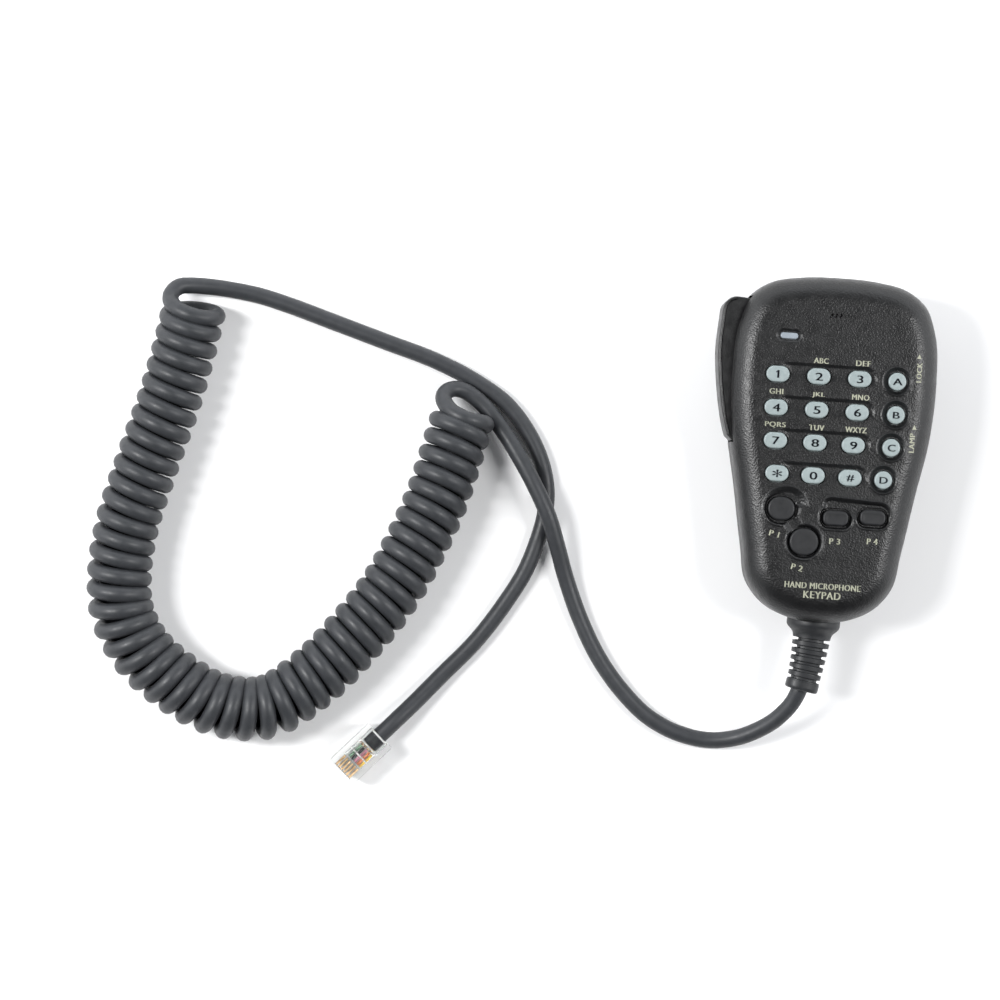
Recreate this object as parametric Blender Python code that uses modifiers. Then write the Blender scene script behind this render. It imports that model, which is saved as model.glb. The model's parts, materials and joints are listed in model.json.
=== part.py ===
"""Hand microphone with a sixteen-key pad, a coiled cord and a six-way modular plug.

Lengths are in millimetres and angles in degrees, and the helpers turn them into metres and radians.
The handset lies on its back. +Z points up through the keys, +Y to the top end of the handset and +X
to its right-hand side. The origin is the centre of the hanger button's flat face, which it rests on.
"""

import math

import bmesh
import bpy
import numpy as np
from mathutils import Matrix, Vector

MM = 0.001
GAP = 0.3  # between neighbouring pieces

# Case: the right-hand half of its outline at the parting line, from top centre to bottom centre.
CASE_HALF = (
    (0, 36.8), (10.8, 36.25), (18.6, 34.5), (24.2, 30.4), (27.2, 23.3), (28.5, 9.0), (27.55, -6.5),
    (24.65, -22.0), (21.75, -38.5), (19.8, -48.0), (15.3, -53.7), (7.8, -57.4), (0, -58.3),
)
OUTLINE_STEPS = 48
WALL = 2.0
REAR_Z = 5.0
PARTING_Z = 14.0
FRONT_Z = 30.0
FRONT_RIM = (7.0, 8.0)  # how far the front edge rounds over, inwards and down
REAR_RIM = (5.0, 5.0)
RIM_STEPS = 3
FRONT_INNER_Z = FRONT_Z - WALL
REAR_INNER_Z = REAR_Z + WALL
SCREWS = ((-13.0, -48.6), (13.0, -48.6), (15.0, 27.6))
BOSS_TOPS = (FRONT_Z - 3, FRONT_Z - 3, FRONT_Z - 1)  # inside the front wall, below the rounded rim

# Hanger button, at the origin.
BUTTON_HEAD_R = 6.9
BUTTON_STEM_R = 2.5
BUTTON_STEM_TOP = 10.6

# Circuit board and the rubber mat on it.
BOARD_Z = (21.0, 22.6)
BOARD_INSET = 4.6
BOARD_LOW_Y = -50.5
MAT_Z = (22.9, 24.3)
MAT_INSET = 6.4
MAT_Y = (-45.0, 14.5)

# Keys: rows from the top, each with its four centres across.
KEY_ROW_Y = (9.05, -0.1, -9.1, -18.05)
KEY_ROW_X = (
    (-15.8, -4.6, 6.6, 16.9),
    (-15.7, -4.6, 6.5, 17.1),
    (-15.3, -4.5, 6.0, 16.4),
    (-14.3, -4.4, 5.7, 14.8),
)
KEY_NAMES = (
    ("key_1", "key_2", "key_3", "key_a"),
    ("key_4", "key_5", "key_6", "key_b"),
    ("key_7", "key_8", "key_9", "key_c"),
    ("key_star", "key_0", "key_hash", "key_d"),
)
DIGIT_KEY = (6.35, 4.35)
LETTER_KEY = (4.85, 4.85)
KEY_TOP_Z = 30.9
KEY_FLANGE_Z = (26.6, 27.7)
KEY_FLANGE_LIP = 0.9
KEY_POST_LOW_Z = 23.5
KEY_POST = 2.6
PROGRAM_BUTTONS = {
    "button_p1": ((-12.4, -27.6), (7.4, 6.4)),
    "button_p2": ((-5.65, -36.3), (7.9, 7.4)),
    "button_p3": ((2.6, -29.3), (7.0, 4.1)),
    "button_p4": ((12.7, -28.5), (7.0, 4.1)),
}
PROGRAM_TOP_Z = 30.3

# Window, microphone and the slots over it.
WINDOW_AT = (-13.3, 19.7)
WINDOW_SIZE = (5.1, 1.9)
CAPSULE_AT = (-0.6, 25.9)
CAPSULE_R = 4.85
CAPSULE_Z = (21.0, 26.2)
BOOT_R = (5.15, 6.2)
BOOT_TOP_Z = 26.8  # clear of the rim's inner side
SLOT_X = (-2.15, -0.9, 0.35)
SLOT_SIZE = (0.55, 1.45)
SLOT_LEAN = 25

# Push-to-talk lever: its outline seen from the front, and its pivot.
LEVER_OUTER = (
    (-31.7, 24.6), (-32.2, 15.5), (-31.7, 9.0), (-30.5, 0.7), (-29.4, -4.5), (-28.3, -8.3),
)
LEVER_TOP_CORNER = ((-27.6, 25.9), 4.0)
LEVER_INNER = (
    (-26.8, -9.7), (-24.6, -9.5), (-22.6, -8.0), (-22.0, -6.2), (-22.6, -4.4), (-25.1, -2.8),
    (-25.2, 24.3), (-23.6, 26.6), (-18.0, 27.4), (-17.4, 30.7), (-18.6, 31.2), (-20.6, 29.4),
)
LEVER_Z = (9.2, 24.4)
LEVER_OPENING_Y = (-10.2, 30.7)
LEVER_OPENING_X = -20.8
LEVER_PIVOT = (-24.4, -6.2)
PIN_R = 1.0
SPRING_Z = (14.2, 19.4)
SPRING_R = 1.75
SPRING_WIRE_R = 0.3
SPRING_TURNS = 4

# Side slide switches and the two keys on the top wall.
SLIDE_AT = {"lock": (28.4, 11.9), "lamp": (27.4, -7.4)}  # wall's outer face, and where along it
SLIDE_Z = 18.5
SLIDE_TRAVEL = 2.5
TOP_KEY_X = {"up": 8.5, "down": -8.5}
TOP_KEY_Z = 18.5

# Strain relief: it leans a little to the left of the handset's centre line.
RELIEF_Z = 14.15
RELIEF_X = 0.35
RELIEF_LEAN = 7.5
RELIEF_HOLE_R = 5.5
RELIEF_PROFILE = (  # distance out from the case's end, radius
    (-7.0, 3.0), (-5.5, 3.0), (-5.5, 6.1), (-3.9, 6.1), (-3.9, 5.2), (0.45, 5.2), (0.45, 7.4),
    (3.2, 7.0), (4.6, 5.2),
)
RELIEF_RIBS = 5
RELIEF_RIB_PITCH = 2.22
RELIEF_CORE_R = 3.7
RELIEF_RIB_R = (5.1, 4.5)
RELIEF_END = (16.95, 19.4, 4.55)  # end collar: from, to, radius

# Cord. Its centreline lies on the table except where it joins something or crosses itself.
CORD_D = 4.6
TABLE_Z = CORD_D / 2 + 0.05
COIL_D = 17.7
COIL_Z = COIL_D / 2 + 0.05
LEAD_ROUTE = (
    (-4.9, -81.3, 13.3), (-8.6, -85.9, 11.2), (-12.8, -89.3, 8.5), (-18.5, -92.4, 5.2),
    (-25.6, -93.75, 3.0), (-34.2, -92.7, TABLE_Z), (-43.5, -88.6, TABLE_Z), (-51.6, -81.6, TABLE_Z),
    (-58.3, -73.4, TABLE_Z), (-64.5, -62.5, TABLE_Z), (-69.6, -50.5, 3.6), (-73.0, -40.6, 6.2),
    (-75.4, -34.2, 7.6), (-79.6, -26.2, 8.0), (-84.7, -18.0, 7.4), (-90.7, -9.8, 5.8),
    (-96.6, -3.4, 5.0), (-101.1, -0.6, 5.2), (-104.8, 0.3, 6.0), (-107.0, -0.9, 7.4), (-107.6, -2.6, 8.5),
)
TAIL_ROUTE = (
    (-185.5, 20.7, 8.5), (-185.0, 22.0, 8.1), (-183.4, 23.2, 7.4), (-180.0, 23.8, 6.2),
    (-174.6, 23.9, 4.8), (-167.5, 23.4, 3.4), (-160.4, 22.4, TABLE_Z), (-153.2, 20.6, TABLE_Z),
    (-138.9, 16.3, TABLE_Z), (-124.5, 11.9, TABLE_Z), (-110.1, 7.5, TABLE_Z), (-98.0, 2.2, TABLE_Z),
    (-89.2, -3.4, TABLE_Z), (-83.2, -10.2, TABLE_Z), (-78.8, -18.0, TABLE_Z), (-76.5, -26.0, TABLE_Z),
    (-76.5, -34.0, TABLE_Z), (-78.0, -41.0, TABLE_Z), (-80.8, -49.5, TABLE_Z), (-86.3, -59.7, TABLE_Z),
    (-93.9, -70.9, TABLE_Z), (-101.9, -80.0, 2.6),
)
COIL_ROUTE = (
    (-178.7, 18.4), (-180.0, 9.0), (-183.6, -8.6), (-188.8, -27.5), (-193.2, -46.0),
    (-194.0, -57.5), (-192.6, -68.3), (-187.0, -78.2), (-176.4, -86.9), (-164.6, -92.4),
    (-151.4, -92.6), (-138.3, -83.2), (-127.6, -70.4), (-118.8, -57.6), (-112.2, -43.9),
    (-107.4, -31.0), (-104.0, -17.4), (-101.0, -7.6),
)
CORD_POINT_EVERY = 1.2 * CORD_D
COIL_POINT_EVERY = 0.7 * COIL_D

# Modular plug: the middle of its rear face on the table plane, and where it points.
PLUG_AT = (-118.5, -98.4)
PLUG_HEADING = 227.1
PLUG_SIZE = (9.65, 14.6)  # width, length
PLUG_Z = (2.4, 9.0)
PLUG_NOSE_CHAMFER = 0.5
CONTACT_PITCH = 1.02
CONTACT_COUNT = 6
CONTACT_SIZE = (0.3, 3.7)
CONTACT_Z = (4.9, 8.6)
CONTACT_BACK = 13.9  # front end of the contacts, measured from the plug's rear face
CONTACT_SLOT_W = 0.62
LATCH_WIDTH = 3.2
LATCH_LENGTH = 11.0
LATCH_THICK = 1.0
LATCH_DROOP = 5

MATERIALS = {  # colour, roughness, metallic
    "case_plastic": ((0.035, 0.036, 0.038), 0.62, 0.0),
    "lever_plastic": ((0.035, 0.036, 0.038), 0.55, 0.0),
    "key_plastic": ((0.54, 0.62, 0.66), 0.4, 0.0),
    "button_rubber": ((0.045, 0.046, 0.05), 0.5, 0.0),
    "window_plastic": ((0.6, 0.66, 0.68), 0.25, 0.0),
    "cord_rubber": ((0.06, 0.063, 0.07), 0.45, 0.0),
    "plug_clear": ((0.9, 0.92, 0.9), 0.1, 0.0),
    "gold_contact": ((0.8, 0.55, 0.2), 0.25, 1.0),
    "screw_steel": ((0.5, 0.5, 0.52), 0.3, 1.0),
    "board_laminate": ((0.02, 0.16, 0.06), 0.5, 0.0),
    "mat_rubber": ((0.2, 0.2, 0.22), 0.7, 0.0),
    "chip_epoxy": ((0.02, 0.02, 0.02), 0.5, 0.0),
    "header_nylon": ((0.8, 0.79, 0.72), 0.5, 0.0),
    "capsule_aluminium": ((0.7, 0.7, 0.7), 0.35, 1.0),
    "led_resin": ((0.6, 0.05, 0.04), 0.2, 0.0),
}


def clear_scene():
    for obj in list(bpy.data.objects):
        bpy.data.objects.remove(obj)


def new_collection(name):
    collection = bpy.data.collections.new(name)
    bpy.context.scene.collection.children.link(collection)
    return collection


def new_material(name):
    colour, roughness, metallic = MATERIALS[name]
    material = bpy.data.materials.new(name)
    material.use_nodes = True
    shader = material.node_tree.nodes["Principled BSDF"]
    shader.inputs["Base Color"].default_value = (*colour, 1)
    shader.inputs["Roughness"].default_value = roughness
    shader.inputs["Metallic"].default_value = metallic
    material.diffuse_color = (*colour, 1)
    return material


clear_scene()
PARTS = new_collection("hand_microphone")
CUTTERS = new_collection("cutters")
PALETTE = {name: new_material(name) for name in MATERIALS}


def finish_object(obj, material, smooth_angle=35):
    """Puts a sub-part into the model: its collection, its material and its shading."""
    PARTS.objects.link(obj)
    obj.data.materials.append(PALETTE[material])
    obj.data.shade_smooth()
    obj.data.set_sharp_from_angle(angle=math.radians(smooth_angle))
    return obj


def as_cutter(obj):
    """Keeps an object that shapes others out of the model."""
    CUTTERS.objects.link(obj)
    obj.hide_render = True
    obj.display_type = "WIRE"
    return obj


def object_from(bm, name):
    bmesh.ops.recalc_face_normals(bm, faces=bm.faces)
    mesh = bpy.data.meshes.new(name)
    bm.to_mesh(mesh)
    bm.free()
    return bpy.data.objects.new(name, mesh)


def boolean(obj, other, operation):
    modifier = obj.modifiers.new(f"{operation.lower()}_{other.name}", "BOOLEAN")
    modifier.operation = operation
    modifier.object = other
    modifier.solver = "EXACT"


def bevel(obj, width, segments=2, angle=40):
    modifier = obj.modifiers.new("bevel", "BEVEL")
    modifier.width = width * MM
    modifier.segments = segments
    modifier.limit_method = "ANGLE"
    modifier.angle_limit = math.radians(angle)


def smooth_curve(points, closed=False, fine=24):
    """A smooth curve through the points, as a dense polyline."""
    points = np.array(points, float)
    count = len(points)
    ahead = np.roll(points, -1, axis=0) - points
    behind = points - np.roll(points, 1, axis=0)
    step_ahead = np.linalg.norm(ahead, axis=1, keepdims=True)
    step_behind = np.linalg.norm(behind, axis=1, keepdims=True)
    slopes = ahead / step_ahead * step_behind + behind / step_behind * step_ahead
    slopes /= step_ahead + step_behind
    if not closed:
        slopes[0] = (ahead / step_ahead)[0]
        slopes[-1] = (behind / step_behind)[-1]
    t = np.linspace(0, 1, fine, endpoint=False)[:, None]
    pieces = []
    for i in range(count if closed else count - 1):
        j = (i + 1) % count
        length = step_ahead[i]
        pieces.append(
            (2 * t**3 - 3 * t**2 + 1) * points[i] + (t**3 - 2 * t**2 + t) * slopes[i] * length
            + (3 * t**2 - 2 * t**3) * points[j] + (t**3 - t**2) * slopes[j] * length
        )
    pieces.append(points[:1] if closed else points[-1:])
    return np.concatenate(pieces)


def spread_evenly(line, count, end_length=None):
    """`count` points at equal distances along a polyline, after a short stretch at each end if asked."""
    steps = np.linalg.norm(np.diff(line, axis=0), axis=1)
    along = np.concatenate([[0], np.cumsum(steps)])
    if end_length is None:
        places = np.linspace(0, along[-1], count)
    else:
        places = np.linspace(end_length, along[-1] - end_length, count - 2)
        places = np.concatenate([[0], places, along[-1:]])
    return np.stack([np.interp(places, along, line[:, k]) for k in range(line.shape[1])], axis=1)


def case_outline(inset):
    """The case's outline moved inwards by `inset`, as evenly spaced points."""
    right = list(CASE_HALF)
    left = [(-x, y) for x, y in reversed(CASE_HALF[1:-1])]
    ring = spread_evenly(smooth_curve(right + left, closed=True), OUTLINE_STEPS + 1)[:-1]
    along = np.roll(ring, -1, axis=0) - np.roll(ring, 1, axis=0)
    along /= np.linalg.norm(along, axis=1, keepdims=True)
    inwards = np.stack([along[:, 1], -along[:, 0]], axis=1)
    return ring + inwards * inset


def rounded_ring(width, height, radius=None, corner_steps=3):
    """A rectangle with round corners, as a ring of points about its centre."""
    radius = min(width, height) / 2 if radius is None else radius
    ring = []
    for quarter in range(4):
        middle_x = (width / 2 - radius) * (1, -1, -1, 1)[quarter]
        middle_y = (height / 2 - radius) * (1, 1, -1, -1)[quarter]
        for k in range(corner_steps):
            angle = math.radians(90) * (quarter + k / (corner_steps - 1))
            ring.append((middle_x + radius * math.cos(angle), middle_y + radius * math.sin(angle)))
    return np.array(ring)


def at_height(ring, z):
    return np.column_stack([ring, np.full(len(ring), z)])


def add_loft(bm, rings, cap_low=True, cap_high=True):
    """Joins rings of equally many points, in millimetres, with quads and closes the ends."""
    rows = [[bm.verts.new(Vector(point) * MM) for point in ring] for ring in rings]
    count = len(rows[0])
    for low, high in zip(rows, rows[1:]):
        for k in range(count):
            after = (k + 1) % count
            bm.faces.new((low[k], low[after], high[after], high[k]))
    if cap_low:
        bm.faces.new(rows[0][::-1])
    if cap_high:
        bm.faces.new(rows[-1])


def loft(name, rings, **caps):
    bm = bmesh.new()
    add_loft(bm, rings, **caps)
    return object_from(bm, name)


def prisms(name, shapes):
    """Separate upright blocks in one object, each an outline with its low and high Z."""
    bm = bmesh.new()
    for ring, low, high in shapes:
        add_loft(bm, [at_height(ring, low), at_height(ring, high)])
    return object_from(bm, name)


def block(low, high):
    """An upright block for prisms(), from two opposite corners."""
    middle = (np.array(low[:2]) + high[:2]) / 2
    half = (np.array(high[:2]) - low[:2]) / 2
    ring = middle + half * ((1, 1), (-1, 1), (-1, -1), (1, -1))
    return ring, low[2], high[2]


def circle(centre, radius, steps=24):
    angles = np.linspace(0, 2 * math.pi, steps, endpoint=False)
    return np.stack([np.cos(angles), np.sin(angles)], axis=1) * radius + centre


def stepped(name, sections, place=None):
    """A piece that changes its rounded outline along its own Z: (width, height, radius, z) each."""
    rings = [at_height(rounded_ring(w, h, r), z) for w, h, r, z in sections]
    obj = loft(name, rings)
    obj.matrix_world = place or Matrix()
    return obj


def turned(name, profile, place=None, steps=24):
    """A turned piece from its (radius, height) profile, top to bottom, starting and ending at 0."""
    bm = bmesh.new()
    verts = [bm.verts.new((radius * MM, 0, height * MM)) for radius, height in profile]
    for upper, lower in zip(verts, verts[1:]):
        bm.edges.new((upper, lower))
    mesh = bpy.data.meshes.new(name)
    bm.to_mesh(mesh)
    bm.free()
    obj = bpy.data.objects.new(name, mesh)
    screw = obj.modifiers.new("turn", "SCREW")
    screw.steps = steps
    screw.render_steps = steps
    screw.use_merge_vertices = True
    screw.merge_threshold = 0.00001
    obj.matrix_world = place or Matrix()
    return obj


def upright_at(x, y, z=0.0):
    return Matrix.Translation(Vector((x, y, z)) * MM)


def tube(name, route, every, diameter, material, resolution):
    """A plain round tube along a smooth curve through the route's points, square to it at each end."""
    line = smooth_curve(route)
    length = np.linalg.norm(np.diff(line, axis=0), axis=1).sum()
    points = spread_evenly(line, round(length / every) + 1, end_length=0.35 * diameter)
    curve = bpy.data.curves.new(name, "CURVE")
    curve.dimensions = "3D"
    curve.bevel_depth = diameter / 2 * MM
    curve.bevel_resolution = resolution
    curve.use_fill_caps = True
    spline = curve.splines.new("POLY")
    spline.points.add(len(points) - 1)
    for target, point in zip(spline.points, points):
        target.co = (*(Vector(point) * MM), 1)
        target.radius = 1
    obj = bpy.data.objects.new(name, curve)
    PARTS.objects.link(obj)
    curve.materials.append(PALETTE[material])
    return obj


# ---------------------------------------------------------------- case


def shell_rings(wall_z, rim_z, rim):
    """Rings up a case half's wall and round its rim to the flat face."""
    inwards, deep = rim
    direction = 1 if rim_z > wall_z else -1
    rings = [at_height(case_outline(0), wall_z)]
    for k in range(RIM_STEPS + 1):
        angle = math.radians(90) * k / RIM_STEPS
        z = rim_z - direction * deep * (1 - math.sin(angle))
        rings.append(at_height(case_outline(inwards * (1 - math.cos(angle))), z))
    return rings


def case_half(name, wall_z, rim_z, rim):
    obj = loft(name, shell_rings(wall_z, rim_z, rim), cap_low=False)
    solidify = obj.modifiers.new("wall", "SOLIDIFY")
    solidify.thickness = WALL * MM
    solidify.offset = -1
    solidify.use_even_offset = True
    return obj


def relief_place(along=0.0):
    """The strain relief's own frame: its +Z runs out of the case along the cord."""
    lean = Matrix.Rotation(math.radians(-RELIEF_LEAN), 4, "Z")
    out_of_case = Matrix.Rotation(math.radians(90), 4, "X")
    end = CASE_HALF[-1][1]
    return upright_at(RELIEF_X, end, RELIEF_Z) @ lean @ out_of_case @ upright_at(0, 0, along)


def relief_cutter():
    profile = ((0, 6), (RELIEF_HOLE_R, 6), (RELIEF_HOLE_R, -6), (0, -6))
    return as_cutter(turned("relief_hole", profile, relief_place(), steps=16))


def lever_opening():
    low = (-36, LEVER_OPENING_Y[0], LEVER_Z[0] - 0.5)
    high = (LEVER_OPENING_X, LEVER_OPENING_Y[1], LEVER_Z[1] + 0.6)
    return as_cutter(prisms("lever_opening", [block(low, high)]))


def grown(size):
    return size[0] + 2 * GAP, size[1] + 2 * GAP


def leaning_slot(x):
    lean = math.radians(-SLOT_LEAN)
    ring = rounded_ring(*SLOT_SIZE)
    ring = ring @ np.array([[math.cos(lean), math.sin(lean)], [-math.sin(lean), math.cos(lean)]])
    return ring + (x, CAPSULE_AT[1])


def front_openings():
    """Everything that pierces the front face or the side walls of the front shell."""
    low, high = FRONT_INNER_Z - 1, FRONT_Z + 1
    shapes = [(rounded_ring(*grown(WINDOW_SIZE)) + WINDOW_AT, low, high)]
    shapes += [(leaning_slot(x), low, high) for x in SLOT_X]
    for y, row in zip(KEY_ROW_Y, KEY_ROW_X):
        for column, x in enumerate(row):
            size = LETTER_KEY if column == 3 else DIGIT_KEY
            shapes.append((rounded_ring(*grown(size)) + (x, y), low, high))
    for centre, size in PROGRAM_BUTTONS.values():
        shapes.append((rounded_ring(*grown(size), radius=program_radius(size) + GAP) + centre, low, high))
    for x, y in SLIDE_AT.values():
        low = (x - 3.4, y - 2.1, SLIDE_Z - 1.3)
        shapes.append(block(low, (x + 2, y + 2.1 + SLIDE_TRAVEL, SLIDE_Z + 1.3)))
    for x in TOP_KEY_X.values():
        shapes.append(block((x - 3.6, 34, TOP_KEY_Z - 1.9), (x + 3.6, 39, TOP_KEY_Z + 1.9)))
    return as_cutter(prisms("front_openings", shapes))


def make_case(opening, relief):
    front = case_half("front_shell", PARTING_Z + GAP, FRONT_Z, FRONT_RIM)
    bosses = [(circle(at, 3.0, 16), PARTING_Z + GAP, top) for at, top in zip(SCREWS, BOSS_TOPS)]
    boolean(front, as_cutter(prisms("front_bosses", bosses)), "UNION")
    holes = [(circle(at, 1.3, 12), PARTING_Z - 1, 22) for at in SCREWS]
    boolean(front, as_cutter(prisms("front_screw_holes", holes)), "DIFFERENCE")
    boolean(front, front_openings(), "DIFFERENCE")
    boolean(front, opening, "DIFFERENCE")
    boolean(front, relief, "DIFFERENCE")
    finish_object(front, "case_plastic")

    rear = case_half("rear_cover", PARTING_Z, REAR_Z, REAR_RIM)
    bosses = [(circle(at, 3.4, 16), REAR_INNER_Z - 1, PARTING_Z - GAP) for at in SCREWS]
    bosses.append((circle(LEVER_PIVOT, 2.4, 16), REAR_INNER_Z - 0.5, LEVER_Z[0] - 0.4))
    boolean(rear, as_cutter(prisms("rear_bosses", bosses)), "UNION")
    counterbores = [(circle(at, 2.8, 16), REAR_Z - 1, REAR_Z + 3.5) for at in SCREWS]
    boolean(rear, as_cutter(prisms("screw_counterbores", counterbores)), "DIFFERENCE")
    holes = [(circle(at, 1.3, 12), REAR_Z + 3, PARTING_Z + 1) for at in SCREWS]
    holes.append((circle((0, 0), BUTTON_STEM_R + GAP, 16), REAR_Z - 1, REAR_INNER_Z + 1))
    holes.append((circle(LEVER_PIVOT, PIN_R + GAP, 16), REAR_INNER_Z + 0.2, LEVER_Z[0]))
    boolean(rear, as_cutter(prisms("rear_holes", holes)), "DIFFERENCE")
    boolean(rear, opening, "DIFFERENCE")
    boolean(rear, relief, "DIFFERENCE")
    finish_object(rear, "case_plastic")


def make_case_screws():
    head_z = REAR_Z + 1.4
    profile = ((0, 20.5), (0.9, 20.0), (0.9, head_z + 1.7), (2.4, head_z + 1.7), (2.4, head_z + 0.5),
               (1.9, head_z), (0, head_z))
    for number, (x, y) in enumerate(SCREWS, 1):
        screw = turned(f"case_screw_{number}", profile, upright_at(x, y), steps=16)
        finish_object(screw, "screw_steel")


def make_hanger():
    profile = (
        (0, BUTTON_STEM_TOP), (BUTTON_STEM_R - 0.4, BUTTON_STEM_TOP), (BUTTON_STEM_R, BUTTON_STEM_TOP - 0.4),
        (BUTTON_STEM_R, REAR_Z - GAP), (4.2, REAR_Z - GAP), (4.2, 3.0), (BUTTON_HEAD_R - 0.5, 3.0),
        (BUTTON_HEAD_R, 2.5), (BUTTON_HEAD_R, 0.7), (BUTTON_HEAD_R - 0.7, 0), (0, 0),
    )
    finish_object(turned("hanger_button", profile), "screw_steel")
    nut_z = (REAR_INNER_Z + GAP, REAR_INNER_Z + 2.9)
    nut = prisms("hanger_nut", [(circle((0, 0), 4.4, 6), *nut_z)])
    bore = prisms("nut_bore", [(circle((0, 0), BUTTON_STEM_R + GAP, 16), 6, 12)])
    boolean(nut, as_cutter(bore), "DIFFERENCE")
    finish_object(nut, "screw_steel")


def make_strain_relief():
    line = list(RELIEF_PROFILE)
    start = RELIEF_PROFILE[-1][0] + 0.45
    for rib in range(RELIEF_RIBS):
        share = rib / (RELIEF_RIBS - 1)
        radius = RELIEF_RIB_R[0] + (RELIEF_RIB_R[1] - RELIEF_RIB_R[0]) * share
        out = start + RELIEF_RIB_PITCH * rib
        line += [(out, RELIEF_CORE_R), (out + 0.8, RELIEF_CORE_R), (out + 0.8, radius)]
        line.append((out + RELIEF_RIB_PITCH - 0.05, radius))
    low, high, radius = RELIEF_END
    line += [(low - 0.75, RELIEF_CORE_R), (low, RELIEF_CORE_R), (low, radius)]
    line += [(high - 0.4, radius), (high, radius - 0.4)]
    profile = [(radius, out) for out, radius in reversed(line)]
    profile = [(0, profile[0][1])] + profile + [(0, profile[-1][1])]
    relief = turned("strain_relief", profile, relief_place(), steps=16)
    finish_object(relief, "cord_rubber", smooth_angle=50)


# ---------------------------------------------------------------- inside the case


def board_notches():
    """Room in the board and the mat for the lever, the screw bosses and the microphone."""
    corners = (
        block((-40, -12, 19), (-21.2, 25.6, 26)),
        block((-40, 25.3, 19), (-14.6, 40, 26)),
        block((-40, -70, 19), (40, BOARD_LOW_Y, 26)),
    )
    cutters = [prisms(f"board_notch_{k}", [shape]) for k, shape in enumerate(corners)]
    rounds = [(circle(at, 3.6, 16), 19, 26) for at in SCREWS]
    rounds.append((circle(CAPSULE_AT, BOOT_R[1] + GAP), 19, 26))
    cutters.append(prisms("board_rounds", rounds))
    return [as_cutter(cutter) for cutter in cutters]


def make_board():
    board = prisms("circuit_board", [(case_outline(BOARD_INSET), *BOARD_Z)])
    for cutter in board_notches():
        boolean(board, cutter, "DIFFERENCE")
    finish_object(board, "board_laminate")


def make_mat():
    outline = case_outline(MAT_INSET)
    inside = np.clip(outline, (-20.4, MAT_Y[0]), (40, MAT_Y[1]))
    keep = [k for k in range(len(inside)) if np.abs(inside[k] - inside[k - 1]).max() > 0.01]
    mat = prisms("keypad_mat", [(inside[keep], *MAT_Z)])
    holes = []
    for y, row in zip(KEY_ROW_Y, KEY_ROW_X):
        holes += [(circle((x, y), KEY_POST / 2 + 0.7, 8), MAT_Z[0] - 1, MAT_Z[1] + 1) for x in row]
    for centre, _ in PROGRAM_BUTTONS.values():
        holes.append((circle(centre, KEY_POST / 2 + 0.7, 8), MAT_Z[0] - 1, MAT_Z[1] + 1))
    boolean(mat, as_cutter(prisms("mat_holes", holes)), "DIFFERENCE")
    finish_object(mat, "mat_rubber")


def make_microphone():
    x, y = CAPSULE_AT
    low, high = CAPSULE_Z
    profile = ((0, high), (CAPSULE_R - 0.3, high), (CAPSULE_R, high - 0.3), (CAPSULE_R, low), (0, low))
    finish_object(turned("mic_capsule", profile, upright_at(x, y)), "capsule_aluminium")
    boot = prisms("mic_boot", [(circle(CAPSULE_AT, BOOT_R[1]), BOARD_Z[0], BOOT_TOP_Z)])
    bore = prisms("boot_bore", [(circle(CAPSULE_AT, BOOT_R[0]), BOARD_Z[0] - 1, FRONT_INNER_Z + 1)])
    boolean(boot, as_cutter(bore), "DIFFERENCE")
    finish_object(boot, "mat_rubber")


def make_window():
    width, height = WINDOW_SIZE
    under = FRONT_INNER_Z - GAP
    sections = (
        (width - 0.8, height - 0.6, None, 25.4), (width - 0.8, height - 0.6, None, 26.4),
        (width + 1.6, height + 1.6, None, 26.4), (width + 1.6, height + 1.6, None, under),
        (width, height, None, under), (width, height, None, FRONT_Z - 0.35),
        (width - 0.4, height - 0.4, None, FRONT_Z - 0.1),
    )
    window = stepped("led_window", sections, upright_at(*WINDOW_AT))
    finish_object(window, "window_plastic")
    led = stepped("status_led", ((2.0, 1.25, 0.1, 22.9), (2.0, 1.25, 0.1, 24.0)), upright_at(*WINDOW_AT))
    finish_object(led, "led_resin")


def boxed(name, low, high, material, edge=0.0):
    bm = bmesh.new()
    bmesh.ops.create_cube(bm, size=1)
    size = Vector(high) - Vector(low)
    centre = (Vector(high) + Vector(low)) / 2
    bmesh.ops.scale(bm, vec=size * MM, verts=bm.verts)
    bmesh.ops.translate(bm, vec=centre * MM, verts=bm.verts)
    obj = object_from(bm, name)
    if edge:
        bevel(obj, edge, segments=1)
    return finish_object(obj, material)


def make_board_parts():
    """What is soldered to the underside of the board."""
    top = BOARD_Z[0] - GAP
    boxed("control_chip", (1, -18, top - 1.4), (11, -8, top), "chip_epoxy", edge=0.15)
    header = boxed("cord_header", (-4, -43, top - 6.2), (11, -38, top), "header_nylon")
    pocket = prisms("header_pocket", [block((-3, -42, 13), (10, -39, top - 2))])
    boolean(header, as_cutter(pocket), "DIFFERENCE")
    for name, (x, y) in SLIDE_AT.items():
        low = (x - 9.5, y - 3.6, SLIDE_Z - 2.2)
        high = (x - 4.9, y + 3.6 + SLIDE_TRAVEL, top)
        boxed(f"{name}_switch", low, high, "capsule_aluminium", edge=0.2)
    for name, x in TOP_KEY_X.items():
        boxed(f"{name}_switch", (x - 2.7, 26.7, 16.1), (x + 2.7, 30.8, top), "chip_epoxy", edge=0.2)
    ptt = boxed("ptt_switch", (-20.4, 14, 16.4), (-14.4, 20, top), "chip_epoxy")
    sideways = upright_at(-19, 17, 18.6) @ Matrix.Rotation(math.radians(-90), 4, "Y")
    plunger = turned("ptt_switch_plunger", ((0, 4.7), (1.2, 4.7), (1.2, 0), (0, 0)), sideways, 16)
    boolean(ptt, as_cutter(plunger), "UNION")


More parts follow.
